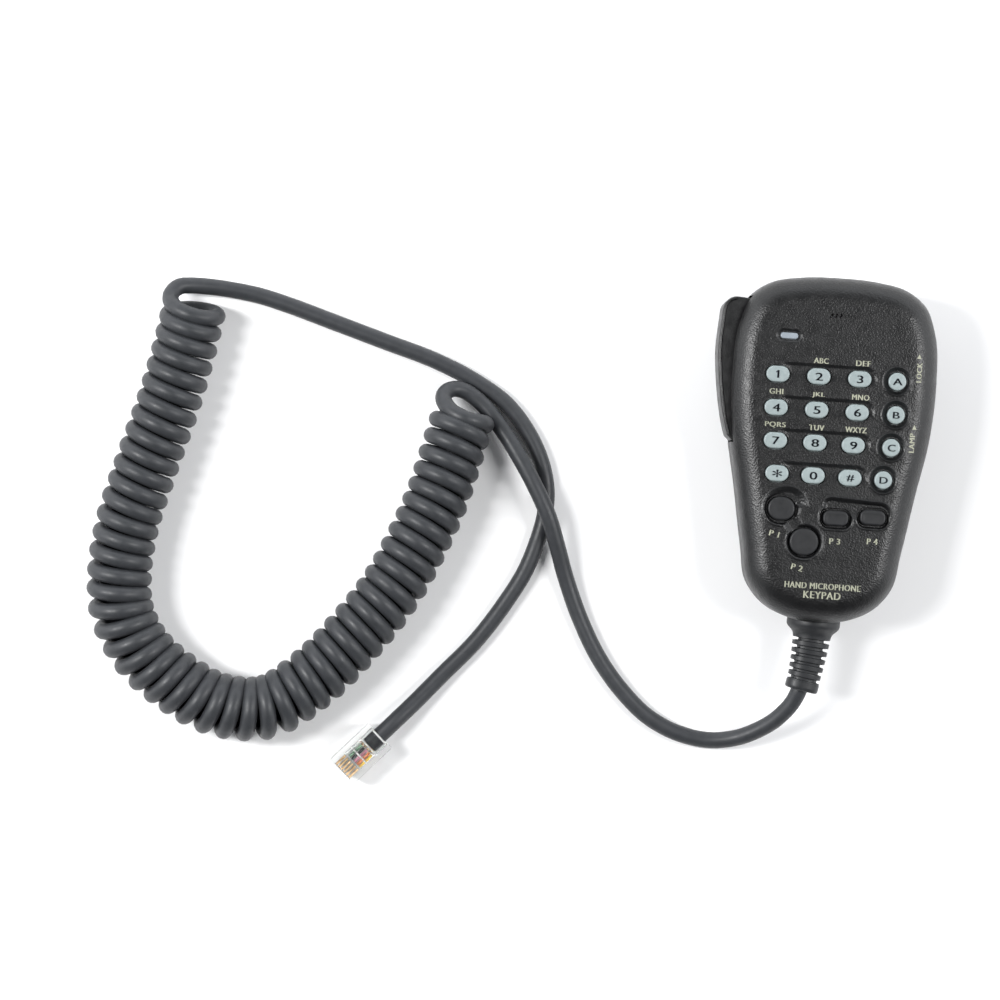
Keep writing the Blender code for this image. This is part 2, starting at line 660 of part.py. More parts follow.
def make_cord_clamp():
    clamp = boxed("cord_clamp", (-5, -50.8, REAR_INNER_Z + GAP), (5, -47.8, 16.5), "screw_steel", edge=0.4)
    hole = turned("clamp_hole", ((0, 4), (2.6, 4), (2.6, -4), (0, -4)), relief_place(-9.4), 20)
    boolean(clamp, as_cutter(hole), "DIFFERENCE")


# ---------------------------------------------------------------- keys, lever and switches


def program_radius(size):
    """Wide program buttons have squarer ends than the round ones."""
    return min(size) / 2 if size[1] > 5 else 1.7


def key_sections(size, radius, top):
    width, height = size
    flange_low, flange_high = KEY_FLANGE_Z
    lip = 2 * KEY_FLANGE_LIP
    return (
        (KEY_POST, KEY_POST, None, KEY_POST_LOW_Z), (KEY_POST, KEY_POST, None, flange_low),
        (width + lip, height + lip, radius + KEY_FLANGE_LIP, flange_low),
        (width + lip, height + lip, radius + KEY_FLANGE_LIP, flange_high),
        (width, height, radius, flange_high), (width, height, radius, top - 0.35),
        (width - 0.7, height - 0.7, radius - 0.35, top),
    )


def make_keys():
    for y, centres, names in zip(KEY_ROW_Y, KEY_ROW_X, KEY_NAMES):
        for column, (x, name) in enumerate(zip(centres, names)):
            size = LETTER_KEY if column == 3 else DIGIT_KEY
            key = stepped(name, key_sections(size, min(size) / 2, KEY_TOP_Z), upright_at(x, y))
            finish_object(key, "key_plastic")
    for name, ((x, y), size) in PROGRAM_BUTTONS.items():
        sections = key_sections(size, program_radius(size), PROGRAM_TOP_Z)
        finish_object(stepped(name, sections, upright_at(x, y)), "button_rubber")


def make_top_keys():
    """Two keys in the top wall, which press towards -Y."""
    for name, x in TOP_KEY_X.items():
        place = upright_at(x, 0, TOP_KEY_Z) @ Matrix.Rotation(math.radians(-90), 4, "X")
        sections = (
            (2.4, 2.0, 0.5, 31.5), (2.4, 2.0, 0.5, 32.4), (8.0, 4.8, 0.8, 32.4), (8.0, 4.8, 0.8, 33.5),
            (6.6, 3.2, 1.0, 33.5), (6.6, 3.2, 1.0, 36.4), (6.0, 2.6, 0.7, 36.8),
        )
        finish_object(stepped(f"button_{name}", sections, place), "button_rubber")


def make_sliders():
    """Two slide switches in the right-hand wall, which move towards +Y."""
    for name, (x, y) in SLIDE_AT.items():
        place = upright_at(x, y, SLIDE_Z) @ Matrix.Rotation(math.radians(90), 4, "Y")
        sections = (
            (3.6, 6.0, 0.3, -4.4), (3.6, 6.0, 0.3, -3.1), (2.0, 3.6, 0.3, -3.1), (2.0, 3.6, 0.3, -0.8),
            (1.5, 3.1, 0.2, -0.5),
        )
        finish_object(stepped(f"{name}_slider", sections, place), "button_rubber")


def lever_outline():
    centre, radius = LEVER_TOP_CORNER
    corner = [
        (centre[0] + radius * math.cos(angle), centre[1] + radius * math.sin(angle))
        for angle in np.radians(np.linspace(95, 175, 6))
    ]
    outer = [tuple(point) for point in spread_evenly(smooth_curve(LEVER_OUTER), 14)]
    return np.array(corner + outer + list(LEVER_INNER))


def make_lever():
    pivot = upright_at(*LEVER_PIVOT)
    lever = prisms("ptt_lever", [(lever_outline() - np.array(LEVER_PIVOT), *LEVER_Z)])
    lever.matrix_world = pivot
    x, y = LEVER_PIVOT
    bore = prisms("lever_bore", [(circle(LEVER_PIVOT, PIN_R + GAP, 16), 8, 26)])
    boolean(lever, as_cutter(bore), "DIFFERENCE")
    room = block((x - 2.7, y - 4.0, SPRING_Z[0] - 0.8), (x + 3.4, y + 3.6, SPRING_Z[1] + 0.8))
    boolean(lever, as_cutter(prisms("spring_room", [room])), "DIFFERENCE")
    finish_object(lever, "lever_plastic")

    top, foot = LEVER_Z[1] + 0.5, REAR_INNER_Z + 0.5
    profile = ((0, top), (PIN_R - 0.2, top), (PIN_R, top - 0.2), (PIN_R, foot), (0, foot))
    finish_object(turned("ptt_pin", profile, pivot, steps=16), "screw_steel")


def make_lever_spring():
    """A torsion spring round the pin, with one leg towards the lever and one into the case."""
    x, y = LEVER_PIVOT
    per_turn = 9
    turns = [(x + 0.4, y + 10.2, SPRING_Z[1]), (x + 1.3, y + 4.0, SPRING_Z[1])]
    for k in range(SPRING_TURNS * per_turn + 1):
        share = k / (SPRING_TURNS * per_turn)
        angle = -2 * math.pi * SPRING_TURNS * share
        z = SPRING_Z[1] + (SPRING_Z[0] - SPRING_Z[1]) * share
        turns.append((x + SPRING_R * math.cos(angle), y + SPRING_R * math.sin(angle), z))
    turns.append((x + SPRING_R + 0.1, y - 4.5, SPRING_Z[0]))
    curve = bpy.data.curves.new("ptt_spring", "CURVE")
    curve.dimensions = "3D"
    curve.bevel_depth = SPRING_WIRE_R * MM
    curve.bevel_resolution = 0
    curve.use_fill_caps = True
    spline = curve.splines.new("POLY")
    spline.points.add(len(turns) - 1)
    for target, point in zip(spline.points, turns):
        target.co = (*(Vector(point) * MM), 1)
    obj = bpy.data.objects.new("ptt_spring", curve)
    PARTS.objects.link(obj)
    curve.materials.append(PALETTE["screw_steel"])


# ---------------------------------------------------------------- cord and plug


def make_cord():
    relief_face = relief_place(RELIEF_END[1] + GAP)
    start = relief_face.translation / MM
    outwards = relief_face.to_3x3() @ Vector((0, 0, 2))
    lead = [tuple(start), tuple(start + outwards), *LEAD_ROUTE]
    tube("cord_lead", lead, CORD_POINT_EVERY, CORD_D, "cord_rubber", 2)
    coil = [(x, y, COIL_Z) for x, y in COIL_ROUTE]
    tube("cord_coil", coil, COIL_POINT_EVERY, COIL_D, "cord_rubber", 3)
    plug = plug_place()
    middle_z = (PLUG_Z[0] + PLUG_Z[1]) / 2
    ends = [tuple(plug @ (Vector((0, -back, z)) * MM) / MM) for back, z in
            ((12, 4.0), (6, 5.2), (GAP, middle_z))]
    tube("cord_tail", [*TAIL_ROUTE, *ends], CORD_POINT_EVERY, CORD_D, "cord_rubber", 2)


def plug_place():
    """The plug's own frame: its +Y runs from its rear face to its nose, and Z is the table's."""
    return upright_at(*PLUG_AT) @ Matrix.Rotation(math.radians(PLUG_HEADING - 90), 4, "Z")


def contact_x(number):
    return (number - (CONTACT_COUNT - 1) / 2) * CONTACT_PITCH


def make_plug():
    width, length = PLUG_SIZE
    low, high = PLUG_Z
    body = prisms("plug_body", [block((-width / 2, 0, low), (width / 2, length, high))])
    body.matrix_world = plug_place()
    slots = []
    for number in range(CONTACT_COUNT):
        x = contact_x(number)
        back = CONTACT_BACK - CONTACT_SIZE[1] - 0.2
        slots.append(block((x - CONTACT_SLOT_W / 2, back, CONTACT_Z[0] - 0.3),
                           (x + CONTACT_SLOT_W / 2, length + 1, high + 1)))
    cutter = prisms("contact_slots", slots)
    cutter.matrix_world = plug_place()
    bevel(body, PLUG_NOSE_CHAMFER, segments=1)
    boolean(body, as_cutter(cutter), "DIFFERENCE")
    finish_object(body, "plug_clear")
    for number in range(CONTACT_COUNT):
        x = contact_x(number)
        half = CONTACT_SIZE[0] / 2
        foot = (x - half, CONTACT_BACK - CONTACT_SIZE[1], CONTACT_Z[0])
        blade = prisms(f"plug_contact_{number + 1}", [block(foot, (x + half, CONTACT_BACK, CONTACT_Z[1]))])
        blade.matrix_world = plug_place()
        finish_object(blade, "gold_contact")


def make_latch():
    """The springy tongue under the plug, with its origin on the line that it bends about."""
    place = plug_place() @ upright_at(0, PLUG_SIZE[1] - 0.8, PLUG_Z[0] - GAP)
    droop = Matrix.Rotation(math.radians(LATCH_DROOP), 4, "X")
    half = LATCH_WIDTH / 2
    ring = np.array(
        [(-half, 0), (-half, -6), (-half * 0.8, -7), (-half * 0.8, -LATCH_LENGTH),
         (half * 0.8, -LATCH_LENGTH), (half * 0.8, -7), (half, -6), (half, 0)]
    )
    latch = prisms("plug_latch", [(ring, -LATCH_THICK - 0.05, -0.05)])
    latch.matrix_world = place @ droop
    finish_object(latch, "plug_clear")


make_case(lever_opening(), relief_cutter())
make_case_screws()
make_hanger()
make_strain_relief()
make_board()
make_mat()
make_microphone()
make_window()
make_board_parts()
make_cord_clamp()
make_keys()
make_top_keys()
make_sliders()
make_lever()
make_lever_spring()
make_cord()
make_plug()
make_latch()
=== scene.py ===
import json
import math

import bmesh
import bpy
import numpy as np
from mathutils import Matrix, Vector
from mathutils.geometry import delaunay_2d_cdt


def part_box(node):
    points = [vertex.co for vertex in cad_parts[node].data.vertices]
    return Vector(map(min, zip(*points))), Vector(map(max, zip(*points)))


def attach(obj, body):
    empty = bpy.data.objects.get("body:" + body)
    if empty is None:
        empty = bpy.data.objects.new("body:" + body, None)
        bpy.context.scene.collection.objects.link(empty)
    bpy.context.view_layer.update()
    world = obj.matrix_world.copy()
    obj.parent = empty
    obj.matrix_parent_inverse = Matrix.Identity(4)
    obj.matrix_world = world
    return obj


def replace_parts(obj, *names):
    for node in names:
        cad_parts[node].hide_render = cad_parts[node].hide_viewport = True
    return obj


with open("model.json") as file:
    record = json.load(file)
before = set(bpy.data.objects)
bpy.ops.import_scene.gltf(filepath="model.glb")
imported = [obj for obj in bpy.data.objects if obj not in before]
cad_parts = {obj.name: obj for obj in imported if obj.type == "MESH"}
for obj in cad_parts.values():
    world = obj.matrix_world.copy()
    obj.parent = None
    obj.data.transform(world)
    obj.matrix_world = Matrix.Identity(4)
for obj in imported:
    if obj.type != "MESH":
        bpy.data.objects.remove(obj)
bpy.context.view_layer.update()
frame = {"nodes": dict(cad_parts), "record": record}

# Lengths are in millimetres and angles in degrees, and the helpers turn them into metres and
# radians. The handset lies on its back: +Z points up through the keys, +Y to its top end and
# +X to its right-hand side.
MM = 0.001
BODY = "handset"

# Camera, floor and lights, in metres
CAMERA_AT = (-0.08929, -0.03038, 1.0)
CAMERA_TURN = 3.8
CAMERA_LENS = 127.8
LIGHTS_AIM = (-0.09, -0.03, 0.01)
SOFTBOXES = (  # name, place, size and power
    ("left_softbox", (-0.78, 0.05, 0.86), (0.22, 0.5), 13.2),
    ("right_softbox", (0.60, 0.05, 0.86), (0.16, 0.45), 7.1),
)
SKY = {"Z": (0.3, 0.79, 3.5, 0.2), "Y": (-0.7, 0.05, 0.08, 0.7)}  # map_range() along each axis
SKY_COLOUR = (0.95, 0.97, 1.0, 1)
FLOOR_SIZE = 3

# Materials: a dark and a light colour, then the lowest and highest roughness
NOISE_RANGE = (0.35, 0.65)  # where most of a noise's values lie
BLACK = (0.0016, 0.0017, 0.002)
MOULDED_PLASTICS = {  # these start with the grain's size and depth
    "case_plastic": (0.46, 0.085, BLACK, (0.0031, 0.0032, 0.0036), (0.34, 0.42)),
    "lever_plastic": (0.5, 0.03, BLACK, (0.0055, 0.0056, 0.006), (0.34, 0.44)),
}
SATIN = {
    "button_rubber": ((0.0095, 0.01, 0.0112), (0.012, 0.0125, 0.0137), (0.45, 0.58)),
    "window_plastic": ((0.22, 0.25, 0.28), (0.25, 0.28, 0.31), (0.2, 0.3)),
    "cord_rubber": ((0.026, 0.028, 0.031), (0.031, 0.033, 0.0368), (0.4, 0.5)),
    "relief_rubber": ((0.0135, 0.0145, 0.0162), (0.018, 0.019, 0.0207), (0.4, 0.5)),
    "board_laminate": ((0.01, 0.1, 0.03), (0.015, 0.14, 0.045), (0.3, 0.45)),
    "mat_rubber": ((0.1, 0.1, 0.11), (0.13, 0.13, 0.14), (0.55, 0.7)),
    "chip_epoxy": ((0.012, 0.012, 0.013), (0.02, 0.02, 0.021), (0.4, 0.55)),
    "header_nylon": ((0.66, 0.64, 0.55), (0.72, 0.7, 0.6), (0.4, 0.5)),
    "led_resin": ((0.42, 0.03, 0.02), (0.5, 0.05, 0.03), (0.15, 0.25)),
    # plug_white also colours the thin strip along the plug's rear edge, which is a painted
    # highlight
    "plug_white": ((0.8, 0.8, 0.78), (0.88, 0.88, 0.86), (0.1, 0.2)),
    "wire_white": ((0.62, 0.64, 0.62), (0.7, 0.72, 0.7), (0.3, 0.4)),
    "wire_green": ((0.14, 0.24, 0.16), (0.2, 0.31, 0.22), (0.3, 0.4)),
    "wire_black": ((0.05, 0.05, 0.055), (0.08, 0.08, 0.085), (0.3, 0.4)),
    "wire_pink": ((0.62, 0.27, 0.36), (0.7, 0.34, 0.43), (0.3, 0.4)),
    "wire_red": ((0.66, 0.2, 0.09), (0.73, 0.26, 0.13), (0.3, 0.4)),
    "wire_yellow": ((0.85, 0.55, 0.08), (0.9, 0.62, 0.14), (0.3, 0.4)),
}
METALS = {
    "gold_contact": ((0.8, 0.56, 0.3), (0.9, 0.66, 0.4), (0.34, 0.46)),
    "screw_steel": ((0.46, 0.46, 0.47), (0.58, 0.58, 0.59), (0.24, 0.38)),
    "capsule_aluminium": ((0.66, 0.66, 0.67), (0.76, 0.76, 0.77), (0.3, 0.42)),
}
INKS = {"label_ink": (0.325, 0.33, 0.25), "digit_ink": (0.04, 0.049, 0.064)}

# Case: the right-hand half of its outline at the parting line, from top centre to bottom centre
CASE_HALF = (
    (0, 36.8), (10.8, 36.25), (18.6, 34.5), (24.2, 30.4), (27.2, 23.3), (28.5, 9.0),
    (27.55, -6.5), (24.65, -22.0), (21.75, -38.5), (19.8, -48.0), (15.3, -53.7), (7.8, -57.4),
    (0, -58.3),
)
OUTLINE_STEPS = 176  # points round the whole outline
WALL = 2.0
REAR_Z, PARTING_Z, FRONT_Z = 5.0, 14.0, 30.0
PARTING_GAP = 0.3
FRONT_RIM, REAR_RIM = (7.0, 8.0), (5.0, 5.0)  # how far the rounded edge goes in, and how deep
FRONT_CROWN = 0.2
CROWN_Y, CROWN_REACH = -10, (22, 42)  # the crown's middle, and how far it reaches each way
INNER_EDGE = ((2.55, 0.0), (2.3, 0.15), (2.1, 0.45), (2.0, 1.0))  # inset, share of the depth
RIM_ANGLES = (34, 41, 48, 55, 62, 69, 76, 83, 90)  # the rounded edge's part that has recesses
WALL_ANGLES = (26, 18, 9, 0)  # and the rest of it, down to the side wall
LIP_AT, LIP_WIDTH = 0.28, 0.22  # of the raised lip outside a recess's edge
OUTER_SPACING, INNER_SPACING = 1.1, 4.0  # of the points that fill in a face
OUTER_MARGIN, INNER_MARGIN = 0.6, 0.8  # between the face's edge and those points

# Keys, buttons and window
KEY_PRINT = (  # row by row: what is written, how tall, and how wide for its height
    (("1", 2.1, 1.3), ("2", 2.1, 1.5), ("3", 2.1, 1.5), ("A", 1.8, 1.45)),
    (("4", 2.1, 1.4), ("5", 2.1, 1.5), ("6", 2.1, 1.45), ("B", 1.8, 1.45)),
    (("7", 2.1, 1.4), ("8", 2.1, 1.5), ("9", 2.1, 1.45), ("C", 1.9, 1.2)),
    (("*", 2.1, 1.35), ("0", 2.1, 1.5), ("#", 1.85, 1.3), ("D", 1.8, 1.3)),
)
KEY_ROWS = [["key_" + {"*": "star", "#": "hash"}.get(text, text.lower()) for text, _, _ in row]
            for row in KEY_PRINT]
KEYS = [name for row in KEY_ROWS for name in row]
PROGRAM_BUTTONS = ("button_p1", "button_p2", "button_p3", "button_p4")
WIDE_BUTTONS = ("button_p3", "button_p4")
TOP_KEYS = ("button_up", "button_down")
SLIDERS = ("lock_slider", "lamp_slider")
WIDE_RADIUS = 1.7
KEY_GAP = 0.3
KEY_LIP = 0.9  # how far a key's flange reaches past its opening
KEY_FLANGE_Z = (26.6, 27.7)
KEY_POST = (2.6, 2.6, 1.2)
KEY_EDGE, BUTTON_EDGE, BUTTON_DISH = 0.42, 0.55, 0.12
WINDOW_SIZE = (4.95, 1.65)
SLOT_X = (-2.15, -0.9, 0.35)
SLOT_SIZE = (0.55, 1.45)
SLOT_LEAN = 25

# Cord
CORD_D = 4.6
TABLE_Z = CORD_D / 2 + 0.05
CORD_STEP = 1.2
TIGHTEST_BEND, EASE_ROUNDS = 4.0, 80
LEAD_ROUTE = (  # a point without a height lies on the table
    (-3.8, -79.9, 13.2), (-5.0, -82.1, 12.3), (-6.9, -84.6, 10.9), (-8.8, -86.6, 9.7),
    (-12.8, -89.6, 7.4), (-18.5, -92.4, 4.8), (-25.6, -93.75, 3.0), (-34.2, -92.7),
    (-43.5, -88.6), (-51.6, -81.6), (-58.3, -73.4),
    (-64.5, -62.5), (-69.6, -50.5, 3.6), (-73.0, -40.6, 6.2), (-75.4, -34.2, 7.6),
    (-79.6, -26.2, 8.0), (-84.7, -18.0, 7.4), (-90.7, -9.8, 5.8), (-96.6, -3.4, 5.0),
    (-101.1, -0.6, 5.2), (-104.7, 0.2, 6.0), (-106.6, -0.9, 7.2), (-107.1, -2.7, 9.0),
    (-106.1, -4.9, 11.6), (-103.8, -7.0, 14.0), (-100.4, -8.5, 15.2),
)
TAIL_ROUTE = (
    (-185.5, 20.7, 8.5), (-185.0, 22.0, 8.1), (-183.4, 23.2, 7.4), (-180.0, 23.8, 6.2),
    (-174.6, 23.9, 4.8), (-167.5, 23.4, 3.4), (-160.4, 22.4), (-153.2, 20.6),
    (-138.9, 16.3), (-124.5, 11.9), (-110.1, 7.5),
    (-98.0, 2.2), (-89.2, -3.4), (-83.2, -10.2),
    (-78.8, -18.0), (-76.5, -26.0), (-76.5, -34.0),
    (-78.0, -41.0), (-80.8, -49.5), (-86.3, -59.7),
    (-93.9, -70.9), (-101.9, -80.0, 2.6),
)
COIL_ROUTE = (
    (-177.8, 18.9), (-179.4, 9.0), (-183.2, -8.6), (-188.5, -27.5), (-193.0, -46.0),
    (-193.9, -57.5), (-192.6, -68.3), (-187.0, -78.2), (-176.4, -86.9), (-164.6, -92.4),
    (-151.4, -92.6), (-138.0, -83.2), (-127.0, -70.4), (-118.2, -57.6), (-111.7, -43.9),
    (-106.9, -31.0), (-103.4, -17.4), (-100.9, -6.9),
)
COIL_R = 6.85  # of the cord's centreline round the coil's own axis
COIL_TURNS = 50.25
COIL_STEPS = 30  # points a turn
COIL_LEAN = (5.0, 20.0, 9.0)  # all along, more at the first turn, and how soon that fades
COIL_TRIM = (7, 2)  # points left out at the coil's ends, where the lead and the tail take over
JOIN_STEPS, JOIN_FINE = 7, 16  # coil points that a joining curve runs on through, and its fineness

# Strain relief: (distance out from the case, radius) along it
RELIEF_ROOT = (-0.2, -58.3, 14.15)
RELIEF_LEAN = (2.2, 0.475)  # where it leaves the case, and more with each millimetre
RELIEF_LENGTH = 19.4
RELIEF_HOLE_R = 5.5
RELIEF_SHAPE = (
    (-7.0, 3.0), (-5.51, 3.0), (-5.49, 6.1), (-3.91, 6.1), (-3.89, 5.2), (-1.22, 5.2),
    (-1.18, 7.1), (-1.05, 7.3), (-0.8, 7.4), (0.7, 7.4), (1.3, 7.3), (1.7, 7.05), (2.2, 6.55),
    (2.7, 6.0), (3.2, 5.6), (3.8, 5.35), (4.7, 5.2), (16.0, 4.5), (16.9, 4.5), (17.0, 4.6),
    (18.9, 4.6), (19.05, 4.5), (19.2, 4.38), (19.32, 4.2), (19.4, 3.8),
)
RELIEF_GROOVES = (5.2, 2.18, 6, 0.8, 3.6)  # the first one, pitch, count, width and core radius
GROOVE_EDGE = 0.24
BRIDGE_DEPTH, BRIDGE_ANGLES = 0.45, (38, 46)  # grooves are shallow this near the top and bottom
RIBS = (4.6, 17.2)  # from where to where the ribs go
RIB_POWER, RIB_SHARE = 3.2, 0.55  # of the superellipse, and how much of it there is in them
CORD_ASIDE = ((2.5, 0.2), (0.0, 0.45))  # before the relief's end, and how far off its axis

# Push-to-talk lever: its outline seen from the front
LEVER_OUTER = (
    (-31.7, 24.6), (-32.2, 15.5), (-31.7, 9.0), (-30.5, 0.7), (-29.4, -4.5), (-28.3, -8.3),
)
LEVER_TOP_CORNER = ((-27.6, 25.9), 4.0)
LEVER_INNER = (
    (-26.8, -9.7), (-24.6, -9.5), (-22.6, -8.0), (-22.0, -6.2), (-22.6, -4.4), (-25.1, -2.8),
    (-25.2, 24.3), (-23.6, 26.6), (-18.0, 27.4), (-17.4, 30.7), (-18.6, 31.2), (-20.6, 29.4),
)
LEVER_Z = (9.2, 24.4)
LEVER_EDGE = 0.5
LEVER_LIP_HEIGHT = 0.45
LEVER_LIP = (  # the raised lip's section: inwards from the outline, and up from the face
    (0.25, -1.2), (0.02, -0.5), (0.05, -0.2), (0.2, 0.25), (0.45, 0.42), (0.75, 0.40),
    (0.95, 0.2), (1.02, -0.1), (1.0, -1.2),
)
LEVER_OPENING = (-20.8, -10.2, 30.3)  # how far in, and from where to where along the side

# Print
PRINT_THICK = 0.035
BOLD_KEY, BOLD_LABEL = 0.09, 0.07  # how far a copy of the print lies aside, to make it bolder
CASE_PRINT = (  # what is written, where, how tall, how wide and which way it runs
    ("ABC", (-4.2, 13.4), 1.5, 4.1, 0), ("DEF", (7.35, 13.4), 1.5, 4.1, 0),
    ("GHI", (-15.9, 4.3), 1.5, 3.8, 0), ("JKL", (-4.35, 4.0), 1.5, 3.5, 0),
    ("MNO", (7.2, 4.1), 1.5, 4.8, 0), ("PQRS", (-15.6, -4.85), 1.6, 5.7, 0),
    ("TUV", (-4.3, -4.95), 1.5, 4.2, 0), ("WXYZ", (6.5, -4.85), 1.5, 5.9, 0),
    ("LOCK", (22.75, 11.9), 1.45, 5.4, 90), ("LAMP", (22.0, -7.4), 1.45, 5.3, 90),
    ("P 1", (-13.9, -34.6), 1.6, 2.8, -12), ("P 2", (-7.1, -43.4), 1.6, 3.2, -12),
    ("P 3", (2.7, -35.6), 1.6, 3.0, 0), ("P 4", (12.95, -35.0), 1.6, 2.95, 0),
    ("HAND MICROPHONE", (0.2, -48.1), 1.65, 20.8, 0), ("KEYPAD", (0.2, -50.55), 1.95, 10.2, 0),
)
ARROWS_AT = ((22.5, 16.3), (22.4, -3.1))
ARROWHEAD = ((-0.625, -0.625), (0.625, -0.625), (0, 0.625))
FLAG_OF_1 = ((-0.375, -0.17), (0.375, -0.17), (0.375, 0.17), (-0.375, 0.17))
FLAG_AT, FLAG_TURN = (-0.27, 0.66), 38
RAISED_WORD = ("MIC", 1.35, (4.2, 26.2))

# Modular plug
PLUG_AT = (-118.5, -98.4)
PLUG_HEADING = 227.1
PLUG_SIZE = (9.65, 14.6)
PLUG_Z = (2.4, 9.0)
CONTACT_PITCH = 1.02
CONTACT_COUNT = 6
CONTACT_SLOT = (0.39, 10.6, 5.2)  # half its width, where it starts and the height of its floor
BLADE_SIZE, BLADE_Y = (0.66, 3.5), 12.5
WIRE_COLOURS = (
    "wire_yellow", "wire_red", "wire_pink", "wire_black", "wire_green", "wire_white",
)
WIRE_R, WIRE_Z, WIRE_Y = 0.44, 6.1, (3.9, 10.1)
# The last of the plug's bars is not a pressed bar: it is a thin white strip along the rear edge, a
# painted highlight where that edge catches the light
PLUG_BARS_AND_RIM_HIGHLIGHT = ((4.35, 7.2, 8.2), (7.9, 6.6, 8.2), (0.3, 5.6, 8.6))  # where, how wide, and top


# ---- small helpers


def metres(point):
    return Vector(point) * MM


def moved(spot):
    return Matrix.Translation(metres(spot))


def spun(degrees, axis):
    return Matrix.Rotation(math.radians(degrees), 4, axis)


def flat_turn(degrees):
    """What rows of flat points are multiplied by to turn them anticlockwise."""
    cos, sin = math.cos(math.radians(degrees)), math.sin(math.radians(degrees))
    return np.array([[cos, sin], [-sin, cos]])


def unit(vectors):
    return vectors / np.linalg.norm(vectors, axis=1, keepdims=True)


def to_right(along):
    """Flat vectors, each turned a quarter clockwise."""
    return np.stack([along[:, 1], -along[:, 0]], axis=1)


def linked(name, data):
    """A new object in the scene."""
    obj = bpy.data.objects.new(name, data)
    bpy.context.scene.collection.objects.link(obj)
    return obj


def evaluated_mesh(obj):
    """A new mesh of the object as its modifiers or its text make it."""
    return bpy.data.meshes.new_from_object(
        obj.evaluated_get(bpy.context.evaluated_depsgraph_get()))


def set_inputs(node, **values):
    """Sets a node's inputs. An underscore in a name stands for a space."""
    for name, value in values.items():
        node.inputs[name.replace("_", " ")].default_value = value


def map_range(tree, value, spread):
    """The value, mapped from spread's first two numbers to its last two."""
    ramp = tree.nodes.new("ShaderNodeMapRange")
    for socket, number in zip(("From Min", "From Max", "To Min", "To Max"), spread):
        ramp.inputs[socket].default_value = number
    tree.links.new(value, ramp.inputs["Value"])
    return ramp.outputs["Result"]


# ---- camera, floor and light


def make_camera():
    """Straight above the middle of the object, turned a little."""
    data = bpy.data.cameras.new("camera")
    data.sensor_width = 36
    data.lens = CAMERA_LENS
    data.clip_start = 0.01
    camera = linked("camera", data)
    camera.location = CAMERA_AT
    camera.rotation_euler = (0, 0, math.radians(CAMERA_TURN))
    bpy.context.scene.camera = camera


def make_softbox(name, at, size, power):
    """An area light that faces the object's middle."""
    data = bpy.data.lights.new(name, "AREA")
    data.shape = "RECTANGLE"
    data.size, data.size_y = size
    data.energy = power
    light = linked(name, data)
    light.location = at
    aim = Vector(LIGHTS_AIM) - light.location
    light.rotation_euler = aim.to_track_quat("-Z", "Y").to_euler()


def make_sky():
    """Soft light all round, weakest straight overhead and from the lower end."""
    world = bpy.data.worlds.new("studio")
    world.use_nodes = True
    tree = world.node_tree
    background = tree.nodes["Background"]
    split = tree.nodes.new("ShaderNodeSeparateXYZ")
    coords = tree.nodes.new("ShaderNodeTexCoord")
    tree.links.new(coords.outputs["Generated"], split.inputs["Vector"])
    product = tree.nodes.new("ShaderNodeMath")
    product.operation = "MULTIPLY"
    for socket, (axis, spread) in zip(product.inputs, SKY.items()):
        tree.links.new(map_range(tree, split.outputs[axis], spread), socket)
    tree.links.new(product.outputs["Value"], background.inputs["Strength"])
    background.inputs["Color"].default_value = SKY_COLOUR
    bpy.context.scene.world = world


def make_stage():
    bpy.context.scene.view_settings.view_transform = "Standard"
    make_sky()
    for softbox in SOFTBOXES:
        make_softbox(*softbox)
    mesh = bpy.data.meshes.new("floor")
    bm = bmesh.new()
    bmesh.ops.create_grid(bm, x_segments=1, y_segments=1, size=FLOOR_SIZE)
    bm.to_mesh(mesh)
    bm.free()
    floor = linked("floor", mesh)
    mesh.materials.append(plain_paper())


# ---- materials


class Shader:
    """A material under construction: its Principled BSDF and the nodes that feed it."""

    def __init__(self, name, colour, roughness, **inputs):
        self.material = bpy.data.materials.new(name)
        self.material.use_nodes = True
        self.tree = self.material.node_tree
        self.bsdf = self.tree.nodes["Principled BSDF"]
        set_inputs(self.bsdf, Base_Color=(*colour, 1), Roughness=roughness, **inputs)
        self.coords = self.tree.nodes.new("ShaderNodeTexCoord").outputs["Object"]
        self.normal = None

    def link(self, output, node, socket):
        self.tree.links.new(output, node.inputs[socket])

    def texture(self, kind, coords, **inputs):
        node = self.tree.nodes.new(kind)
        set_inputs(node, **inputs)
        self.link(coords, node, "Vector")
        return node

    def noise(self, size, stretch=None):
        """Noise whose features are about `size` millimetres across."""
        coords = self.coords
        if stretch:
            coords = self.texture("ShaderNodeMapping", coords, Scale=stretch).outputs["Vector"]
        scale = 1 / (size * MM)
        return self.texture("ShaderNodeTexNoise", coords, Scale=scale, Detail=3.0).outputs["Fac"]

    def cells(self, size):
        """Rounded cells about `size` millimetres across, as in moulded grain."""
        cells = self.texture("ShaderNodeTexVoronoi", self.coords, Scale=1 / (size * MM))
        cells.feature = "SMOOTH_F1"
        set_inputs(cells, Smoothness=0.6)
        return cells.outputs["Distance"]

    def colours(self, value, low, high, between=NOISE_RANGE):
        """Base colour that runs between two colours with the value."""
        ramp = self.tree.nodes.new("ShaderNodeValToRGB")
        for element, at, colour in zip(ramp.color_ramp.elements, between, (low, high)):
            element.position = at
            element.color = (*colour, 1)
        self.link(value, ramp, "Fac")
        self.link(ramp.outputs["Color"], self.bsdf, "Base Color")

    def rough(self, value, low, high):
        """Roughness that runs between two numbers with the value."""
        self.link(map_range(self.tree, value, (*NOISE_RANGE, low, high)), self.bsdf, "Roughness")

    def bump(self, value, height, strength):
        """Relief `height` millimetres deep, on top of any added before."""
        bump = self.tree.nodes.new("ShaderNodeBump")
        set_inputs(bump, Distance=height * MM, Strength=strength)
        self.link(value, bump, "Height")
        if self.normal:
            self.link(self.normal, bump, "Normal")
        self.normal = bump.outputs["Normal"]
        self.link(self.normal, self.bsdf, "Normal")


